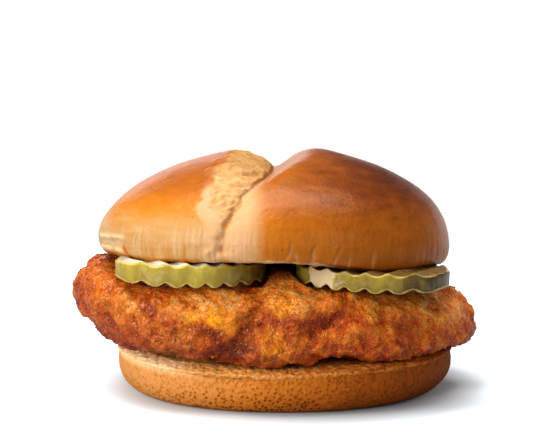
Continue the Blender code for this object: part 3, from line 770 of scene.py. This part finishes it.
new_x = calc(slice_tree, "MULTIPLY", parts["X"], stretch)
new_y = calc(slice_tree, "MULTIPLY", parts["Y"], stretch)
phase = calc(slice_tree, "MULTIPLY", calc(slice_tree, "SUBTRACT", new_x, given["Crest"]),
             calc(slice_tree, "DIVIDE", 2 * math.pi, given["Wave length"]))
half_thick = calc(slice_tree, "MULTIPLY", given["Thickness"], 0.5)
softer_above = remap(slice_tree, calc(slice_tree, "DIVIDE", parts["Z"], half_thick), -1.0, 1.0, 1.0, 0.65)
second = calc(slice_tree, "COSINE", calc(slice_tree, "MULTIPLY", phase, 2.0))
rounder = calc(slice_tree, "MULTIPLY_ADD", second, 0.18, calc(slice_tree, "COSINE", phase))
wave = calc(slice_tree, "MULTIPLY", rounder, given["Wave height"])
wave = calc(slice_tree, "MULTIPLY", wave, softer_above)
thin_edge = remap(slice_tree, out_share, 0.95, 1.0, 1.0, 0.90)
new_z = calc(slice_tree, "MULTIPLY_ADD", parts["Z"], thin_edge, wave)
bent = node(slice_tree, "ShaderNodeCombineXYZ", {"X": new_x, "Y": new_y, "Z": new_z}).outputs[0]
seeded = node(slice_tree, "ShaderNodeVectorMath", {0: position, 1: given["Seed"]}, operation="ADD").outputs[0]
rough = node(slice_tree, "ShaderNodeTexNoise", {"Vector": seeded, "Scale": 1 / 0.0024, "Detail": 2.0})
small = node(slice_tree, "ShaderNodeVectorMath", {0: rough.outputs[1], 1: (0.5, 0.5, 0.5)}, operation="SUBTRACT").outputs[0]
nudge = node(slice_tree, "ShaderNodeVectorMath", {0: small, 3: 0.00045}, operation="SCALE")
connect(slice_tree, nudge.inputs["Scale"], 0.00045)
shifted = node(slice_tree, "GeometryNodeSetPosition", {
    "Geometry": blank.outputs["Mesh"], "Position": bent, "Offset": nudge.outputs[0],
})
marked = node(slice_tree, "GeometryNodeStoreNamedAttribute", {
    "Geometry": shifted.outputs[0], "Name": "rind", "Value": out_share,
}, data_type="FLOAT", domain="POINT")
smooth = node(slice_tree, "GeometryNodeSetShadeSmooth", {"Geometry": marked.outputs[0]})
real = node(slice_tree, "GeometryNodeRealizeInstances", {"Geometry": smooth.outputs[0]})
coloured = node(slice_tree, "GeometryNodeSetMaterial", {"Geometry": real.outputs[0], "Material": given["Finish"]})
connect(slice_tree, result[0], coloured.outputs[0])

# %% [markdown]
# A pickle is translucent. Its rind is yellow-green to olive with darker streaks, and the flesh inside
# is paler and wet. A painted highlight on the rind's thin edge draws the wave. The rind's tone also
# holds painted light and shade across each slice, and the right slice's flesh has painted shade. One
# slice has a bare patch where the rind was cut away.

# %% The pickle's material
pickle, tree, shader, place = new_material(
    "pickle", coat_weight=0.15, coat_roughness=0.15, subsurface_weight=0.55,
    subsurface_radius=(0.0030, 0.0026, 0.0010), subsurface_scale=0.8, specular_ior_level=0.35,
)
axes = node(tree, "ShaderNodeSeparateXYZ", {0: place}).outputs
streak_place = node(tree, "ShaderNodeCombineXYZ", {"X": axes["X"], "Y": axes["Y"], "Z": calc(tree, "MULTIPLY", axes["Z"], 0.35)})
streaks = noise_value(tree, streak_place.outputs[0], 0.0026, 3.0, 0.6)
patchy = noise_value(tree, place, 0.0050, 2.0)
# The rind's tone holds painted light and shade along with its own streaks.
ripe = calc(tree, "MULTIPLY_ADD", calc(tree, "SUBTRACT", streaks, 0.5), 0.55, attribute(tree, "ripe"))
ripe = calc(tree, "MULTIPLY_ADD", attribute(tree, "level"), 0.16, ripe)
rind_colour = ramp(tree, ripe, (
    (0.0, (74, 50, 6)), (0.3, (124, 92, 12)), (0.55, (172, 142, 26)), (0.8, (210, 184, 48)), (1.0, (238, 214, 84)),
))
cloudy = calc(tree, "MULTIPLY", attribute(tree, "middle"), remap(tree, patchy, 0.35, 0.65, 0.05, 0.60))
rind_colour = mix_colour(tree, cloudy, rind_colour, lit(186, 166, 84))
flesh_colour = ramp(tree, noise_value(tree, place, 0.0040, 4.0), (
    (0.2, (244, 220, 170)), (0.55, (255, 244, 214)), (0.85, (255, 252, 240)),
))
fuzz = calc(tree, "MULTIPLY_ADD", calc(tree, "SUBTRACT", streaks, 0.5), 0.012, attribute(tree, "rind"))
rind = remap(tree, fuzz, 0.965, 0.985)
rind = calc(tree, "MULTIPLY", rind, calc(tree, "SUBTRACT", 1.0, attribute(tree, "peeled")))
# Painted highlight: a pale colour on the rind's edges.
edge_colour = mix_colour(tree, attribute(tree, "edge"), rind_colour, lit(228, 200, 104))
flesh_colour = mix_colour(tree, attribute(tree, "shaded"), flesh_colour, lit(134, 100, 44))
whole = mix_colour(tree, rind, flesh_colour, edge_colour)
whole = mix_colour(tree, attribute(tree, "peeled"), whole, lit(244, 218, 166))
connect(tree, shader.inputs["Base Color"], whole)
connect(tree, shader.inputs["Roughness"], remap(tree, streaks, 0.3, 0.7, 0.22, 0.40))
connect(tree, shader.inputs["Normal"], bump(tree, noise_value(tree, place, 0.0012, 3.0), 0.00018))

# %% Make the two slices
THICKNESS = 0.0047
# Each slice gives its rind tone at its left and at its right; the fall to the right is painted shade.
SLICES = {
    "pickle_left": {
        "place": placed(-0.0246, -0.0262, 0.0396, 0.4, 1.0, 16.7), "radius": 0.0220, "period": 0.0055, "crest": -0.0012,
        "seed": 1.0, "ripe": (0.62, 0.60), "swell": 0.0013, "peel": None,
    },
    "pickle_right": {
        "place": placed(0.0285, -0.0260, 0.0379, 0.5, 2.8, -22.5), "radius": 0.0223, "period": 0.0059, "crest": -0.0003,
        "seed": 2.0, "ripe": (0.54, 0.22), "swell": 0.0004, "peel": (-143.5, -121.0),
    },
}


def make_slice(name, place, radius, period, crest, seed, ripe, swell, peel):
    mesh = grown(name, slice_tree, None, {
        "Radius": radius, "Thickness": THICKNESS, "Wave height": 0.00065, "Wave length": period, "Crest": crest,
        "Out of round": 0.008, "Seed": seed, "Finish": pickle,
    })
    points = points_of(mesh)
    out = np.hypot(points[:, 0], points[:, 1])
    wave = 0.00065 * np.cos(2 * np.pi * (points[:, 0] - crest) / period)
    level = np.clip((points[:, 2] - wave) / (THICKNESS / 2), -1, 1)
    # Painted highlight: the rind's two thin edges are marked, to be drawn paler.
    on_edge = np.maximum(ease(0.84, 0.96, level), ease(-0.72, -0.84, level))
    paint(mesh, "edge", on_edge * ease(0.97, 0.99, out / radius))
    paint(mesh, "middle", ease(0.75, 0.25, np.abs(level)))
    paint(mesh, "level", level)
    spin = math.degrees(place.to_euler().z)
    frontward = (points[:, 0] * math.sin(math.radians(-spin)) - points[:, 1] * math.cos(math.radians(spin))) / radius
    points[:, 2] += swell * ease(0.0, 0.95, frontward) * ease(-0.2, 1.0, level)
    peeled = np.zeros(len(points))
    if peel:
        middle, half = math.radians(sum(peel) / 2 - spin), math.radians((peel[1] - peel[0]) / 2)
        toward = points[:, 0] * math.cos(middle) + points[:, 1] * math.sin(middle)
        flat = radius * math.cos(half)
        beyond = np.maximum(toward - flat, 0)
        points[:, 0] -= beyond * math.cos(middle)
        points[:, 1] -= beyond * math.sin(middle)
        peeled = (beyond > 0).astype(float)
    set_points(mesh, points)
    paint(mesh, "peeled", peeled)
    paint(mesh, "shaded", ease(0.99, 0.965, out / radius) * ease(0.0, 0.02, place.translation.x))
    mesh.transform(place)
    points = points_of(mesh)
    from_left = (points[:, 0] - place.translation.x) / radius
    # Painted light and shade: lighter just right of the slice's middle, darker towards its right end.
    ripeness = blend(*ripe, ease(-0.6, 0.7, from_left)) + 0.25 * bell(from_left - 0.15, 0.22)
    paint(mesh, "ripe", ripeness - 0.40 * ease(0.45, 0.95, from_left))
    return finish_piece(name + "_slice", mesh, pickle, "pickle", name)


for name, sizes in SLICES.items():
    make_slice(name, **sizes)

# %% [markdown]
# ## The fillet
# The batter has three sizes of relief. The meat's lumps and the folds are in the solid. Crags of a few
# millimetres are added here, and on them loose crumbs of about a millimetre. A displaced skin is only as
# fine as its mesh, so a fine one is laid over the solid first: rays go out from the middle, and each
# stops at the solid's surface. The rings lie close together only where the fillet shows.

# %% A fine even skin over the solid
FILLET_MIDDLE = Vector((0.0, 0.0, 0.0255))
FILLET_PROFILE = [(0.0, 0.0110), (0.036, 0.0110), (0.050, 0.0105), (0.056, 0.0070), (0.058, 0.0),
                  (0.055, -0.0060), (0.048, -0.0100), (0.040, -0.0105), (0.0, -0.0105)]


def cast_rings(node_name, middle, profile, spacings, around):
    """Rings laid on a CAD node by rays from its middle. The profile only says how close the rings lie."""
    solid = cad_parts[node_name]
    bm = bmesh.new()
    bm.from_mesh(solid.data)
    bm.transform(solid.matrix_world)
    tree = BVHTree.FromBMesh(bm)
    bm.free()
    radius, height = along_profile(profile, spacings)
    even = np.linspace(0, 2 * np.pi, around, endpoint=False)
    angle = even - 0.32 * np.sin(even + np.pi / 2)
    ways = np.stack([
        np.outer(radius, np.cos(angle)), np.outer(radius, np.sin(angle)), np.repeat(height[:, None], around, axis=1)
    ], axis=-1)
    ways /= np.linalg.norm(ways, axis=-1, keepdims=True)
    reach = np.array([tree.ray_cast(middle, way)[3] for way in ways.reshape(-1, 3).tolist()])
    rings = np.array(middle) + ways * reach.reshape(ways.shape[:2])[..., None]
    for _ in range(4):
        ringwise = (np.roll(rings, 1, axis=1) + np.roll(rings, -1, axis=1)) / 2
        rings = (rings + ringwise) / 2
        rings[1:-1] = (rings[:-2] + 2 * rings[1:-1] + rings[2:]) / 4
    return rings


batter_rings = cast_rings("fillet", FILLET_MIDDLE, FILLET_PROFILE, [(1, 0.003), (7, 0.00042), (8, 0.003)], 640)
hump = bell(batter_rings[..., 0] - 0.0015, 0.0090) * bell(batter_rings[..., 1] + 0.0420, 0.0120)
batter_rings[..., 2] -= 0.0018 * hump * ease(0.0300, 0.0370, batter_rings[..., 2])
low_left = bell(batter_rings[..., 0] + 0.0370, 0.0110) * bell(batter_rings[..., 1] + 0.0400, 0.0180)
batter_rings[..., 2] += 0.0009 * low_left * ease(0.0210, 0.0150, batter_rings[..., 2])
batter_mesh = ring_mesh("fillet_skin", batter_rings)
print("fillet skin:", len(batter_mesh.vertices), "points")

# %% [markdown]
# The crags are a rule over a surface, so Geometry Nodes make them: each point moves along its normal by
# a mix of cells and noise. The tree keeps the relief as an attribute. The material then makes ridges
# golden and hollows dark, as hot oil does.

# %% The crags' Geometry Nodes tree
crag_tree, given, result = new_group(
    "Batter crags",
    "GeometryNodeTree",
    [
        ("Geometry", "NodeSocketGeometry", None),
        ("Crag size", "NodeSocketFloat", 0.0042),
        ("Crag height", "NodeSocketFloat", 0.0009),
        ("Grain size", "NodeSocketFloat", 0.0013),
        ("Grain height", "NodeSocketFloat", 0.0004),
        ("Seed", "NodeSocketFloat", 3.0),
        ("Finish", "NodeSocketMaterial", None),
    ],
    [("Geometry", "NodeSocketGeometry")],
)
position = crag_tree.nodes.new("GeometryNodeInputPosition").outputs[0]
normal = crag_tree.nodes.new("GeometryNodeInputNormal").outputs[0]
seeded = node(crag_tree, "ShaderNodeVectorMath", {0: position, 1: given["Seed"]}, operation="ADD").outputs[0]
crag_scale = calc(crag_tree, "DIVIDE", 1.0, given["Crag size"])
grain_scale = calc(crag_tree, "DIVIDE", 1.0, given["Grain size"])
warped = node(crag_tree, "ShaderNodeTexNoise", {"Vector": seeded, "Scale": crag_scale, "Detail": 3.0, "Roughness": 0.6})
crag_cells = node(crag_tree, "ShaderNodeTexVoronoi", {"Vector": seeded, "Scale": crag_scale})
fine_noise = node(crag_tree, "ShaderNodeTexNoise", {"Vector": seeded, "Scale": grain_scale, "Detail": 2.0})
fine_cells = node(crag_tree, "ShaderNodeTexVoronoi", {"Vector": seeded, "Scale": grain_scale})
crag = calc(crag_tree, "SUBTRACT", calc(crag_tree, "MULTIPLY", warped.outputs[0], 2.2),
            calc(crag_tree, "MULTIPLY_ADD", crag_cells.outputs[0], 0.9, 0.65))
grit = calc(crag_tree, "SUBTRACT", calc(crag_tree, "MULTIPLY", fine_noise.outputs[0], 1.6),
            calc(crag_tree, "MULTIPLY_ADD", fine_cells.outputs[0], 0.8, 0.45))
patchy = node(crag_tree, "ShaderNodeTexNoise", {"Vector": seeded, "Scale": 1 / 0.009, "Detail": 1.0})
rough_here = remap(crag_tree, patchy.outputs[0], 0.38, 0.62, 0.45, 1.2)
relief = calc(crag_tree, "MULTIPLY", crag, given["Crag height"])
relief = calc(crag_tree, "ADD", relief, calc(
    crag_tree, "MULTIPLY", calc(crag_tree, "MULTIPLY", grit, rough_here), given["Grain height"]
))
offset = node(crag_tree, "ShaderNodeVectorMath", {0: normal}, operation="SCALE")
connect(crag_tree, offset.inputs["Scale"], relief)
moved = node(crag_tree, "GeometryNodeSetPosition", {"Geometry": given["Geometry"], "Offset": offset.outputs[0]})
kept = node(crag_tree, "GeometryNodeStoreNamedAttribute", {
    "Geometry": moved.outputs[0], "Name": "relief", "Value": calc(crag_tree, "MULTIPLY", relief, 1000.0),
}, data_type="FLOAT", domain="POINT")
kept_rough = node(crag_tree, "GeometryNodeStoreNamedAttribute", {
    "Geometry": kept.outputs[0], "Name": "rough", "Value": rough_here,
}, data_type="FLOAT", domain="POINT")
real = node(crag_tree, "GeometryNodeRealizeInstances", {"Geometry": kept_rough.outputs[0]})
coloured = node(crag_tree, "GeometryNodeSetMaterial", {"Geometry": real.outputs[0], "Material": given["Finish"]})
connect(crag_tree, result[0], coloured.outputs[0])

# %% Grow the crags
fried_batter, batter_tree, batter_shader, batter_place = new_material(
    "fried_batter", subsurface_weight=0.16, subsurface_radius=(0.0030, 0.0010, 0.0004), subsurface_scale=0.5,
    specular_ior_level=0.50, specular_tint=(1.0, 0.74, 0.44, 1.0), coat_roughness=0.12,
)
batter_mesh = grown("fillet_batter", crag_tree, batter_mesh, {
    "Crag size": 0.0042, "Crag height": 0.0012, "Grain size": 0.0015, "Grain height": 0.00045, "Seed": 3.0,
    "Finish": fried_batter,
})
batter_mesh.shade_smooth()

# %% [markdown]
# ### Colours of the batter
# Hot oil browns the coating unevenly. The thin, wet folds go deep red-brown, the swollen parts stay
# golden, and a few places are bright orange where the coating is thin over the meat. The two fields
# below hold where that happens on the front. Elsewhere noise decides.

# %% Paint the batter
GOLDEN = (  # middle x and z, half width and half height, strength
    (-0.0190, 0.0318, 0.0110, 0.0036, 1.10), (0.0040, 0.0335, 0.0070, 0.0032, 0.65), (-0.0480, 0.0330, 0.0070, 0.0070, 0.30),
    (0.0130, 0.0350, 0.0060, 0.0030, 0.25), (0.0250, 0.0320, 0.0060, 0.0030, 0.20), (0.0440, 0.0300, 0.0090, 0.0035, 0.40),
    (0.0010, 0.0375, 0.0080, 0.0022, 0.60), (-0.0130, 0.0350, 0.0050, 0.0020, 0.30), (0.0520, 0.0235, 0.0060, 0.0020, 0.25), (-0.0330, 0.0250, 0.0060, 0.0020, 0.25),
    (-0.0520, 0.0370, 0.0070, 0.0040, 0.35), (-0.0415, 0.0300, 0.0022, 0.0020, 0.90),
)
ORANGE = (
    (-0.0180, 0.0280, 0.0068, 0.0026, 1.20), (0.0000, 0.0205, 0.0080, 0.0040, 0.55), (-0.0430, 0.0275, 0.0060, 0.0030, 0.45),
    (0.0015, 0.0322, 0.0045, 0.0018, 0.90), (0.0270, 0.0300, 0.0050, 0.0020, 0.40), (-0.0270, 0.0220, 0.0060, 0.0030, 0.35),
)
FOLDS = (  # the (x, z) of the two ends, width, strength
    ((-0.0040, 0.0290), (-0.0130, 0.0185), 0.0026, 1.0), ((0.0100, 0.0250), (0.0210, 0.0285), 0.0022, 1.0),
    ((0.0210, 0.0285), (0.0460, 0.0235), 0.0020, 0.6), ((-0.0450, 0.0250), (-0.0180, 0.0225), 0.0022, 0.5),
    ((-0.0080, 0.0360), (-0.0060, 0.0300), 0.0022, 0.8), ((-0.0130, 0.0185), (-0.0180, 0.0165), 0.0022, 0.6),
    ((-0.0040, 0.0290), (0.0100, 0.0262), 0.0016, 0.7), ((0.0180, 0.0350), (0.0220, 0.0300), 0.0016, 0.4),
    ((-0.0420, 0.0340), (-0.0330, 0.0250), 0.0018, 0.5),
)
points = points_of(batter_mesh)
px, pz = points[:, 0], points[:, 2]
front = ease(-0.005, -0.025, points[:, 1])


def patches(table):
    total = np.zeros(len(points))
    for middle_x, middle_z, wide, tall, strength in table:
        total += strength * bell((px - middle_x) / wide, 1.0) * bell((pz - middle_z) / tall, 1.0)
    return total


def along_lines(table):
    deepest = np.zeros(len(points))
    for start, end, width, strength in table:
        start, end = np.array(start), np.array(end)
        here = np.stack([px, pz], axis=-1)
        share = np.clip((here - start) @ (end - start) / ((end - start) @ (end - start)), 0, 1)
        away = np.linalg.norm(here - start - share[:, None] * (end - start), axis=1)
        deepest = np.maximum(deepest, strength * bell(away, width))
    return deepest


wobble = 0.0022 * np.stack([lumps(points, 0.005, 41, 2), 0 * px, lumps(points, 0.005, 42, 2)], axis=-1)
px, pz = px + wobble[:, 0], pz + wobble[:, 2]
anywhere = lumps(points, 0.011, 43, 2)
golden = blend(0.45 * ease(0.0, 0.7, anywhere), patches(GOLDEN), front)
orange = blend(0.40 * ease(0.1, 0.7, lumps(points, 0.009, 44)), patches(ORANGE), front)
folded = blend(0.6 * ease(0.25, 0.6, lumps(points, 0.010, 45)), along_lines(FOLDS), front)
for name, values in (("golden", golden), ("orange", orange), ("folded", folded)):
    paint(batter_mesh, name, values)
teeth = np.maximum(lumps(points, 0.0016, 46), 0) * ease(0.024, 0.034, points[:, 0]) * bell(points[:, 2] - 0.0165, 0.0022)
points[:, 2] -= 0.0014 * teeth * front
set_points(batter_mesh, points)

# %% The batter's material
tree, shader, place = batter_tree, batter_shader, batter_place
axes = node(tree, "ShaderNodeSeparateXYZ", {0: place}).outputs
grains = noise_value(tree, place, 0.0012, 2.0, 0.5)
blotches = noise_value(tree, place, 0.0042, 4.0, 0.6)
ridges = calc(tree, "ABSOLUTE", calc(tree, "SUBTRACT", noise_value(tree, place, 0.0024, 3.0, 0.6), 0.5))
flakes = remap(tree, ridges, 0.06, 0.0)
grit_cells = cell_distance(tree, place, 0.0011)
fry = calc(tree, "MULTIPLY_ADD", attribute(tree, "relief"), 0.24, 0.50)
fry = calc(tree, "MULTIPLY_ADD", calc(tree, "SUBTRACT", grains, 0.5), 0.24, fry)
fry = calc(tree, "MULTIPLY_ADD", remap(tree, grit_cells, 0.35, 0.75), -0.08, fry)
fry = calc(tree, "MULTIPLY_ADD", calc(tree, "SUBTRACT", blotches, 0.5), 0.80, fry)
# Pale flakes on the ridges: partly the batter's golden flakes, partly painted highlight.
fry = calc(tree, "MULTIPLY_ADD", flakes, calc(tree, "MULTIPLY_ADD", attribute(tree, "golden"), 0.20, 0.16), fry)
fry = calc(tree, "MULTIPLY_ADD", remap(tree, axes["X"], -0.036, -0.055), -0.11, fry)
fry = calc(tree, "MULTIPLY_ADD", remap(tree, axes["X"], -0.005, 0.030), 0.11, fry)
# Painted shade: darker low on the fillet's front, where it turns down.
fry = calc(tree, "MULTIPLY_ADD", remap(tree, axes["Z"], 0.027, 0.017), -0.23, fry)
fry = calc(tree, "MULTIPLY_ADD", attribute(tree, "golden"), 0.30, fry)
fry = calc(tree, "MULTIPLY_ADD", attribute(tree, "folded"), -0.28, fry)
batter_colour = ramp(tree, fry, (
    (0.0, (98, 12, 4)), (0.20, (156, 38, 4)), (0.38, (198, 74, 6)), (0.55, (224, 108, 16)),
    (0.72, (246, 142, 42)), (0.88, (255, 172, 80)), (1.0, (255, 200, 120)),
))
glow = calc(tree, "MULTIPLY", attribute(tree, "orange"), remap(tree, blotches, 0.30, 0.55))
batter_colour = mix_colour(tree, calc(tree, "MULTIPLY", glow, 0.95, clamp=True), batter_colour, lit(255, 156, 8))
# Painted light: the batter's colour is scaled up on the golden and orange patches and towards the right, for light that
# the crown and slices hold off.
brighter = node(tree, "ShaderNodeVectorMath", {0: batter_colour}, operation="SCALE")
patch_share = calc(tree, "MAXIMUM", attribute(tree, "golden"), attribute(tree, "orange"))
right_share = calc(tree, "MULTIPLY", remap(tree, axes["X"], 0.000, 0.020), 0.8)
connect(tree, brighter.inputs["Scale"], calc(tree, "MULTIPLY_ADD", calc(tree, "ADD", patch_share, right_share), 0.34, 1.0))
connect(tree, shader.inputs["Base Color"], brighter.outputs[0])
oily = remap(tree, noise_value(tree, place, 0.0014, 2.0), 0.40, 0.62)
connect(tree, shader.inputs["Roughness"], remap(tree, oily, 0.0, 1.0, 0.48, 0.13))
glint = calc(tree, "MULTIPLY", calc(tree, "MULTIPLY", flakes, oily), calc(tree, "SUBTRACT", 0.9, attribute(tree, "folded"), clamp=True))
connect(tree, shader.inputs["Coat Weight"], calc(tree, "MULTIPLY", glint, 0.45))
grit = calc(tree, "MULTIPLY_ADD", grit_cells, -0.3, grains)
grit = calc(tree, "MULTIPLY_ADD", flakes, 0.9, grit)
connect(tree, shader.inputs["Normal"], bump(tree, grit, 0.00045))
batter = finish_piece("fillet_batter", batter_mesh, fried_batter, "fried_batter", "fillet")

# %% [markdown]
# ### Loose crumbs and pepper
# Small scraps of batter stick to the ridges, and ground pepper shows as dark specks. Both are scattered
# over the batter by one Geometry Nodes tree: points on the faces, a bent little ball on each, and the
# instances made real, because an export drops instances.

# %% The scatter's Geometry Nodes tree
scatter_tree, given, result = new_group(
    "Scattered bits",
    "GeometryNodeTree",
    [
        ("Geometry", "NodeSocketGeometry", None),
        ("Bits per square centimetre", "NodeSocketFloat", 10.0),
        ("Smallest", "NodeSocketFloat", 0.0003),
        ("Largest", "NodeSocketFloat", 0.0007),
        ("Flatness", "NodeSocketFloat", 0.6),
        ("Seed", "NodeSocketInt", 5),
        ("Finish", "NodeSocketMaterial", None),
    ],
    [("Geometry", "NodeSocketGeometry")],
)
per_area = calc(scatter_tree, "MULTIPLY", given["Bits per square centimetre"], 10000.0)
roughness_here = node(scatter_tree, "GeometryNodeInputNamedAttribute", {"Name": "rough"}, data_type="FLOAT").outputs[0]
spread = node(scatter_tree, "GeometryNodeDistributePointsOnFaces", {
    "Mesh": given["Geometry"], "Density": calc(scatter_tree, "MULTIPLY", per_area, roughness_here), "Seed": given["Seed"],
})
bit = node(scatter_tree, "GeometryNodeMeshIcoSphere", {"Radius": 1.0, "Subdivisions": 1})
thin = node(scatter_tree, "ShaderNodeCombineXYZ", {"X": 1.0, "Y": 0.75, "Z": given["Flatness"]})
flat_bit = node(scatter_tree, "GeometryNodeTransform", {"Geometry": bit.outputs[0], "Scale": thin.outputs[0]})
size = node(scatter_tree, "FunctionNodeRandomValue", {2: given["Smallest"], 3: given["Largest"]}, data_type="FLOAT")
wobbly = node(scatter_tree, "FunctionNodeRandomValue", {0: (0.0, 0.0, 0.0), 1: (0.9, 0.9, 6.28)}, data_type="FLOAT_VECTOR")
turned = node(scatter_tree, "FunctionNodeRotateEuler", {0: spread.outputs["Rotation"], 1: wobbly.outputs[0]})
dotted = node(scatter_tree, "GeometryNodeInstanceOnPoints", {
    "Points": spread.outputs[0], "Instance": flat_bit.outputs[0], "Rotation": turned.outputs[0], "Scale": size.outputs[1],
})
real = node(scatter_tree, "GeometryNodeRealizeInstances", {"Geometry": dotted.outputs[0]})
smooth = node(scatter_tree, "GeometryNodeSetShadeSmooth", {"Geometry": real.outputs[0]})
coloured = node(scatter_tree, "GeometryNodeSetMaterial", {"Geometry": smooth.outputs[0], "Material": given["Finish"]})
connect(scatter_tree, result[0], coloured.outputs[0])

# %% The scattered bits' materials
loose_crumb, tree, shader, place = new_material(
    "loose_crumb", subsurface_weight=0.15, subsurface_radius=(0.002, 0.001, 0.0005), subsurface_scale=0.5,
    specular_ior_level=0.4, specular_tint=(1.0, 0.85, 0.65, 1.0),
)
connect(tree, shader.inputs["Base Color"], ramp(tree, noise_value(tree, place, 0.0018, 3.0), (
    (0.30, (160, 62, 14)), (0.48, (204, 98, 24)), (0.62, (226, 134, 50)), (0.75, (240, 176, 96)),
)))
connect(tree, shader.inputs["Roughness"], remap(tree, noise_value(tree, place, 0.0008), 0.3, 0.7, 0.25, 0.5))
ground_pepper, tree, shader, place = new_material("ground_pepper", specular_ior_level=0.05)
connect(tree, shader.inputs["Base Color"], ramp(tree, noise_value(tree, place, 0.0010), (
    (0.35, (70, 26, 8)), (0.65, (120, 50, 16)),
)))
connect(tree, shader.inputs["Roughness"], remap(tree, noise_value(tree, place, 0.0007), 0.3, 0.7, 0.5, 0.8))

# %% Scatter them
for name, material, per_cm2, smallest, largest, flatness, seed in (
    ("fillet_crumbs", loose_crumb, 9.0, 0.00025, 0.00060, 0.5, 5),
    ("fillet_pepper", ground_pepper, 0.35, 0.00020, 0.00040, 0.5, 8),
):
    bits = grown(name, scatter_tree, batter_mesh.copy(), {
        "Bits per square centimetre": per_cm2, "Smallest": smallest, "Largest": largest, "Flatness": flatness,
        "Seed": seed, "Finish": material,
    })
    finish_piece(name, bits, material, "fried_batter", "fillet")

# %% [markdown]
# ## The studio
# The burger stands on a white sheet under soft light. The largest light is above, and its reflection is
# the broad shine on the crown. A low one at the left front gives the light side. The sheet and the world
# are white to the camera and grey to everything else, so that the right side stays dark and rich.

# %% Floor and world
FLOOR_RADIUS = 0.30
floor_mesh = bpy.data.meshes.new("floor")
rim = [(FLOOR_RADIUS * math.cos(a), FLOOR_RADIUS * math.sin(a), 0.0) for a in np.linspace(0, 2 * np.pi, 97)[:-1]]
floor_mesh.from_pydata(rim, [], [tuple(range(len(rim)))])
floor = bpy.data.objects.new("floor", floor_mesh)
bpy.context.scene.collection.objects.link(floor)
white, tree, shader, place = new_material("white_sheet", roughness=0.9, specular_ior_level=0.0)
seen = node(tree, "ShaderNodeLightPath").outputs["Is Camera Ray"]
axes = node(tree, "ShaderNodeSeparateXYZ", {0: place}).outputs
away = calc(tree, "SQRT", calc(tree, "ADD", calc(tree, "POWER", axes["X"], 2.0), calc(tree, "POWER", axes["Y"], 2.0)))
# Painted shadow: a soft grey in front of the heel, fading away from it.
in_front = calc(tree, "MULTIPLY", remap(tree, away, 0.085, 0.042), remap(tree, axes["Y"], -0.010, -0.035))
in_front = calc(tree, "MULTIPLY", in_front, remap(tree, axes["X"], -0.045, 0.030, 0.20, 1.0))
# Painted light: the sheet is brighter and cooler at the far left, over the burger's shade there.
sheet = mix_colour(tree, remap(tree, axes["X"], -0.035, -0.050), (0.88, 0.95, 0.98, 1.0), (0.98, 1.12, 1.22, 1.0))
sheet = mix_colour(tree, calc(tree, "MULTIPLY", in_front, 0.90), sheet, (0.30, 0.31, 0.32, 1.0))
connect(tree, shader.inputs["Base Color"], mix_colour(tree, seen, (0.36, 0.36, 0.36, 1.0), sheet))
floor_mesh.materials.append(white)

world = bpy.data.worlds.new("studio")
bpy.context.scene.world = world
world.use_nodes = True
tree = world.node_tree
background = tree.nodes["Background"]
ray = node(tree, "ShaderNodeLightPath").outputs
soft = mix_colour(tree, ray["Is Glossy Ray"], (0.32, 0.32, 0.32, 1.0), (0.12, 0.12, 0.12, 1.0))
connect(tree, background.inputs["Color"], mix_colour(tree, ray["Is Camera Ray"], soft, (1.0, 1.0, 1.0, 1.0)))


# %% Lights and camera
def soft_light(name, place, size, power, colour=(1.0, 1.0, 1.0), toward=(0.0, 0.0, 0.035)):
    lamp = bpy.data.lights.new(name, "AREA")
    lamp.shape = "RECTANGLE"
    lamp.size, lamp.size_y = size
    lamp.energy = power
    lamp.color = colour
    made = bpy.data.objects.new(name, lamp)
    bpy.context.scene.collection.objects.link(made)
    made.location = place
    made.rotation_euler = (Vector(toward) - Vector(place)).to_track_quat("-Z", "Y").to_euler()
    made.visible_camera = False
    return made


soft_light("above", (-0.20, 0.0, 0.86), (0.60, 0.60), 9.5)
soft_light("above_right", (0.27, 0.03, 0.86), (0.36, 0.30), 2.4)
soft_light("behind", (0.0, 0.90, 0.0), (1.80, 0.34), 1.4)
soft_light("behind_left", (-0.18, 0.88, 0.23), (0.34, 0.11), 0.30)
soft_light("left_front", (-0.97, -0.56, 0.30), (0.55, 0.55), 10.5, (1.0, 0.98, 0.95))
soft_light("front", (-0.50, -1.00, 0.42), (0.40, 0.40), 5.0)
soft_light("right_fill", (0.70, -0.90, 0.35), (0.5, 0.5), 1.4)

eye_back, eye_rise, eye_aim = 0.8425, 0.1626, 0.0502
camera_data = bpy.data.cameras.new("camera")
camera_data.lens = 184.7
camera_data.sensor_width = 36.0
camera = bpy.data.objects.new("camera", camera_data)
bpy.context.scene.collection.objects.link(camera)
camera.location = CAD_SHIFT + Vector((0.0, -eye_back, eye_rise))
camera.rotation_euler = (Vector((0.0, eye_back, eye_aim - eye_rise))).to_track_quat("-Z", "Y").to_euler()
bpy.context.scene.camera = camera
bpy.context.scene.view_settings.view_transform = "Standard"
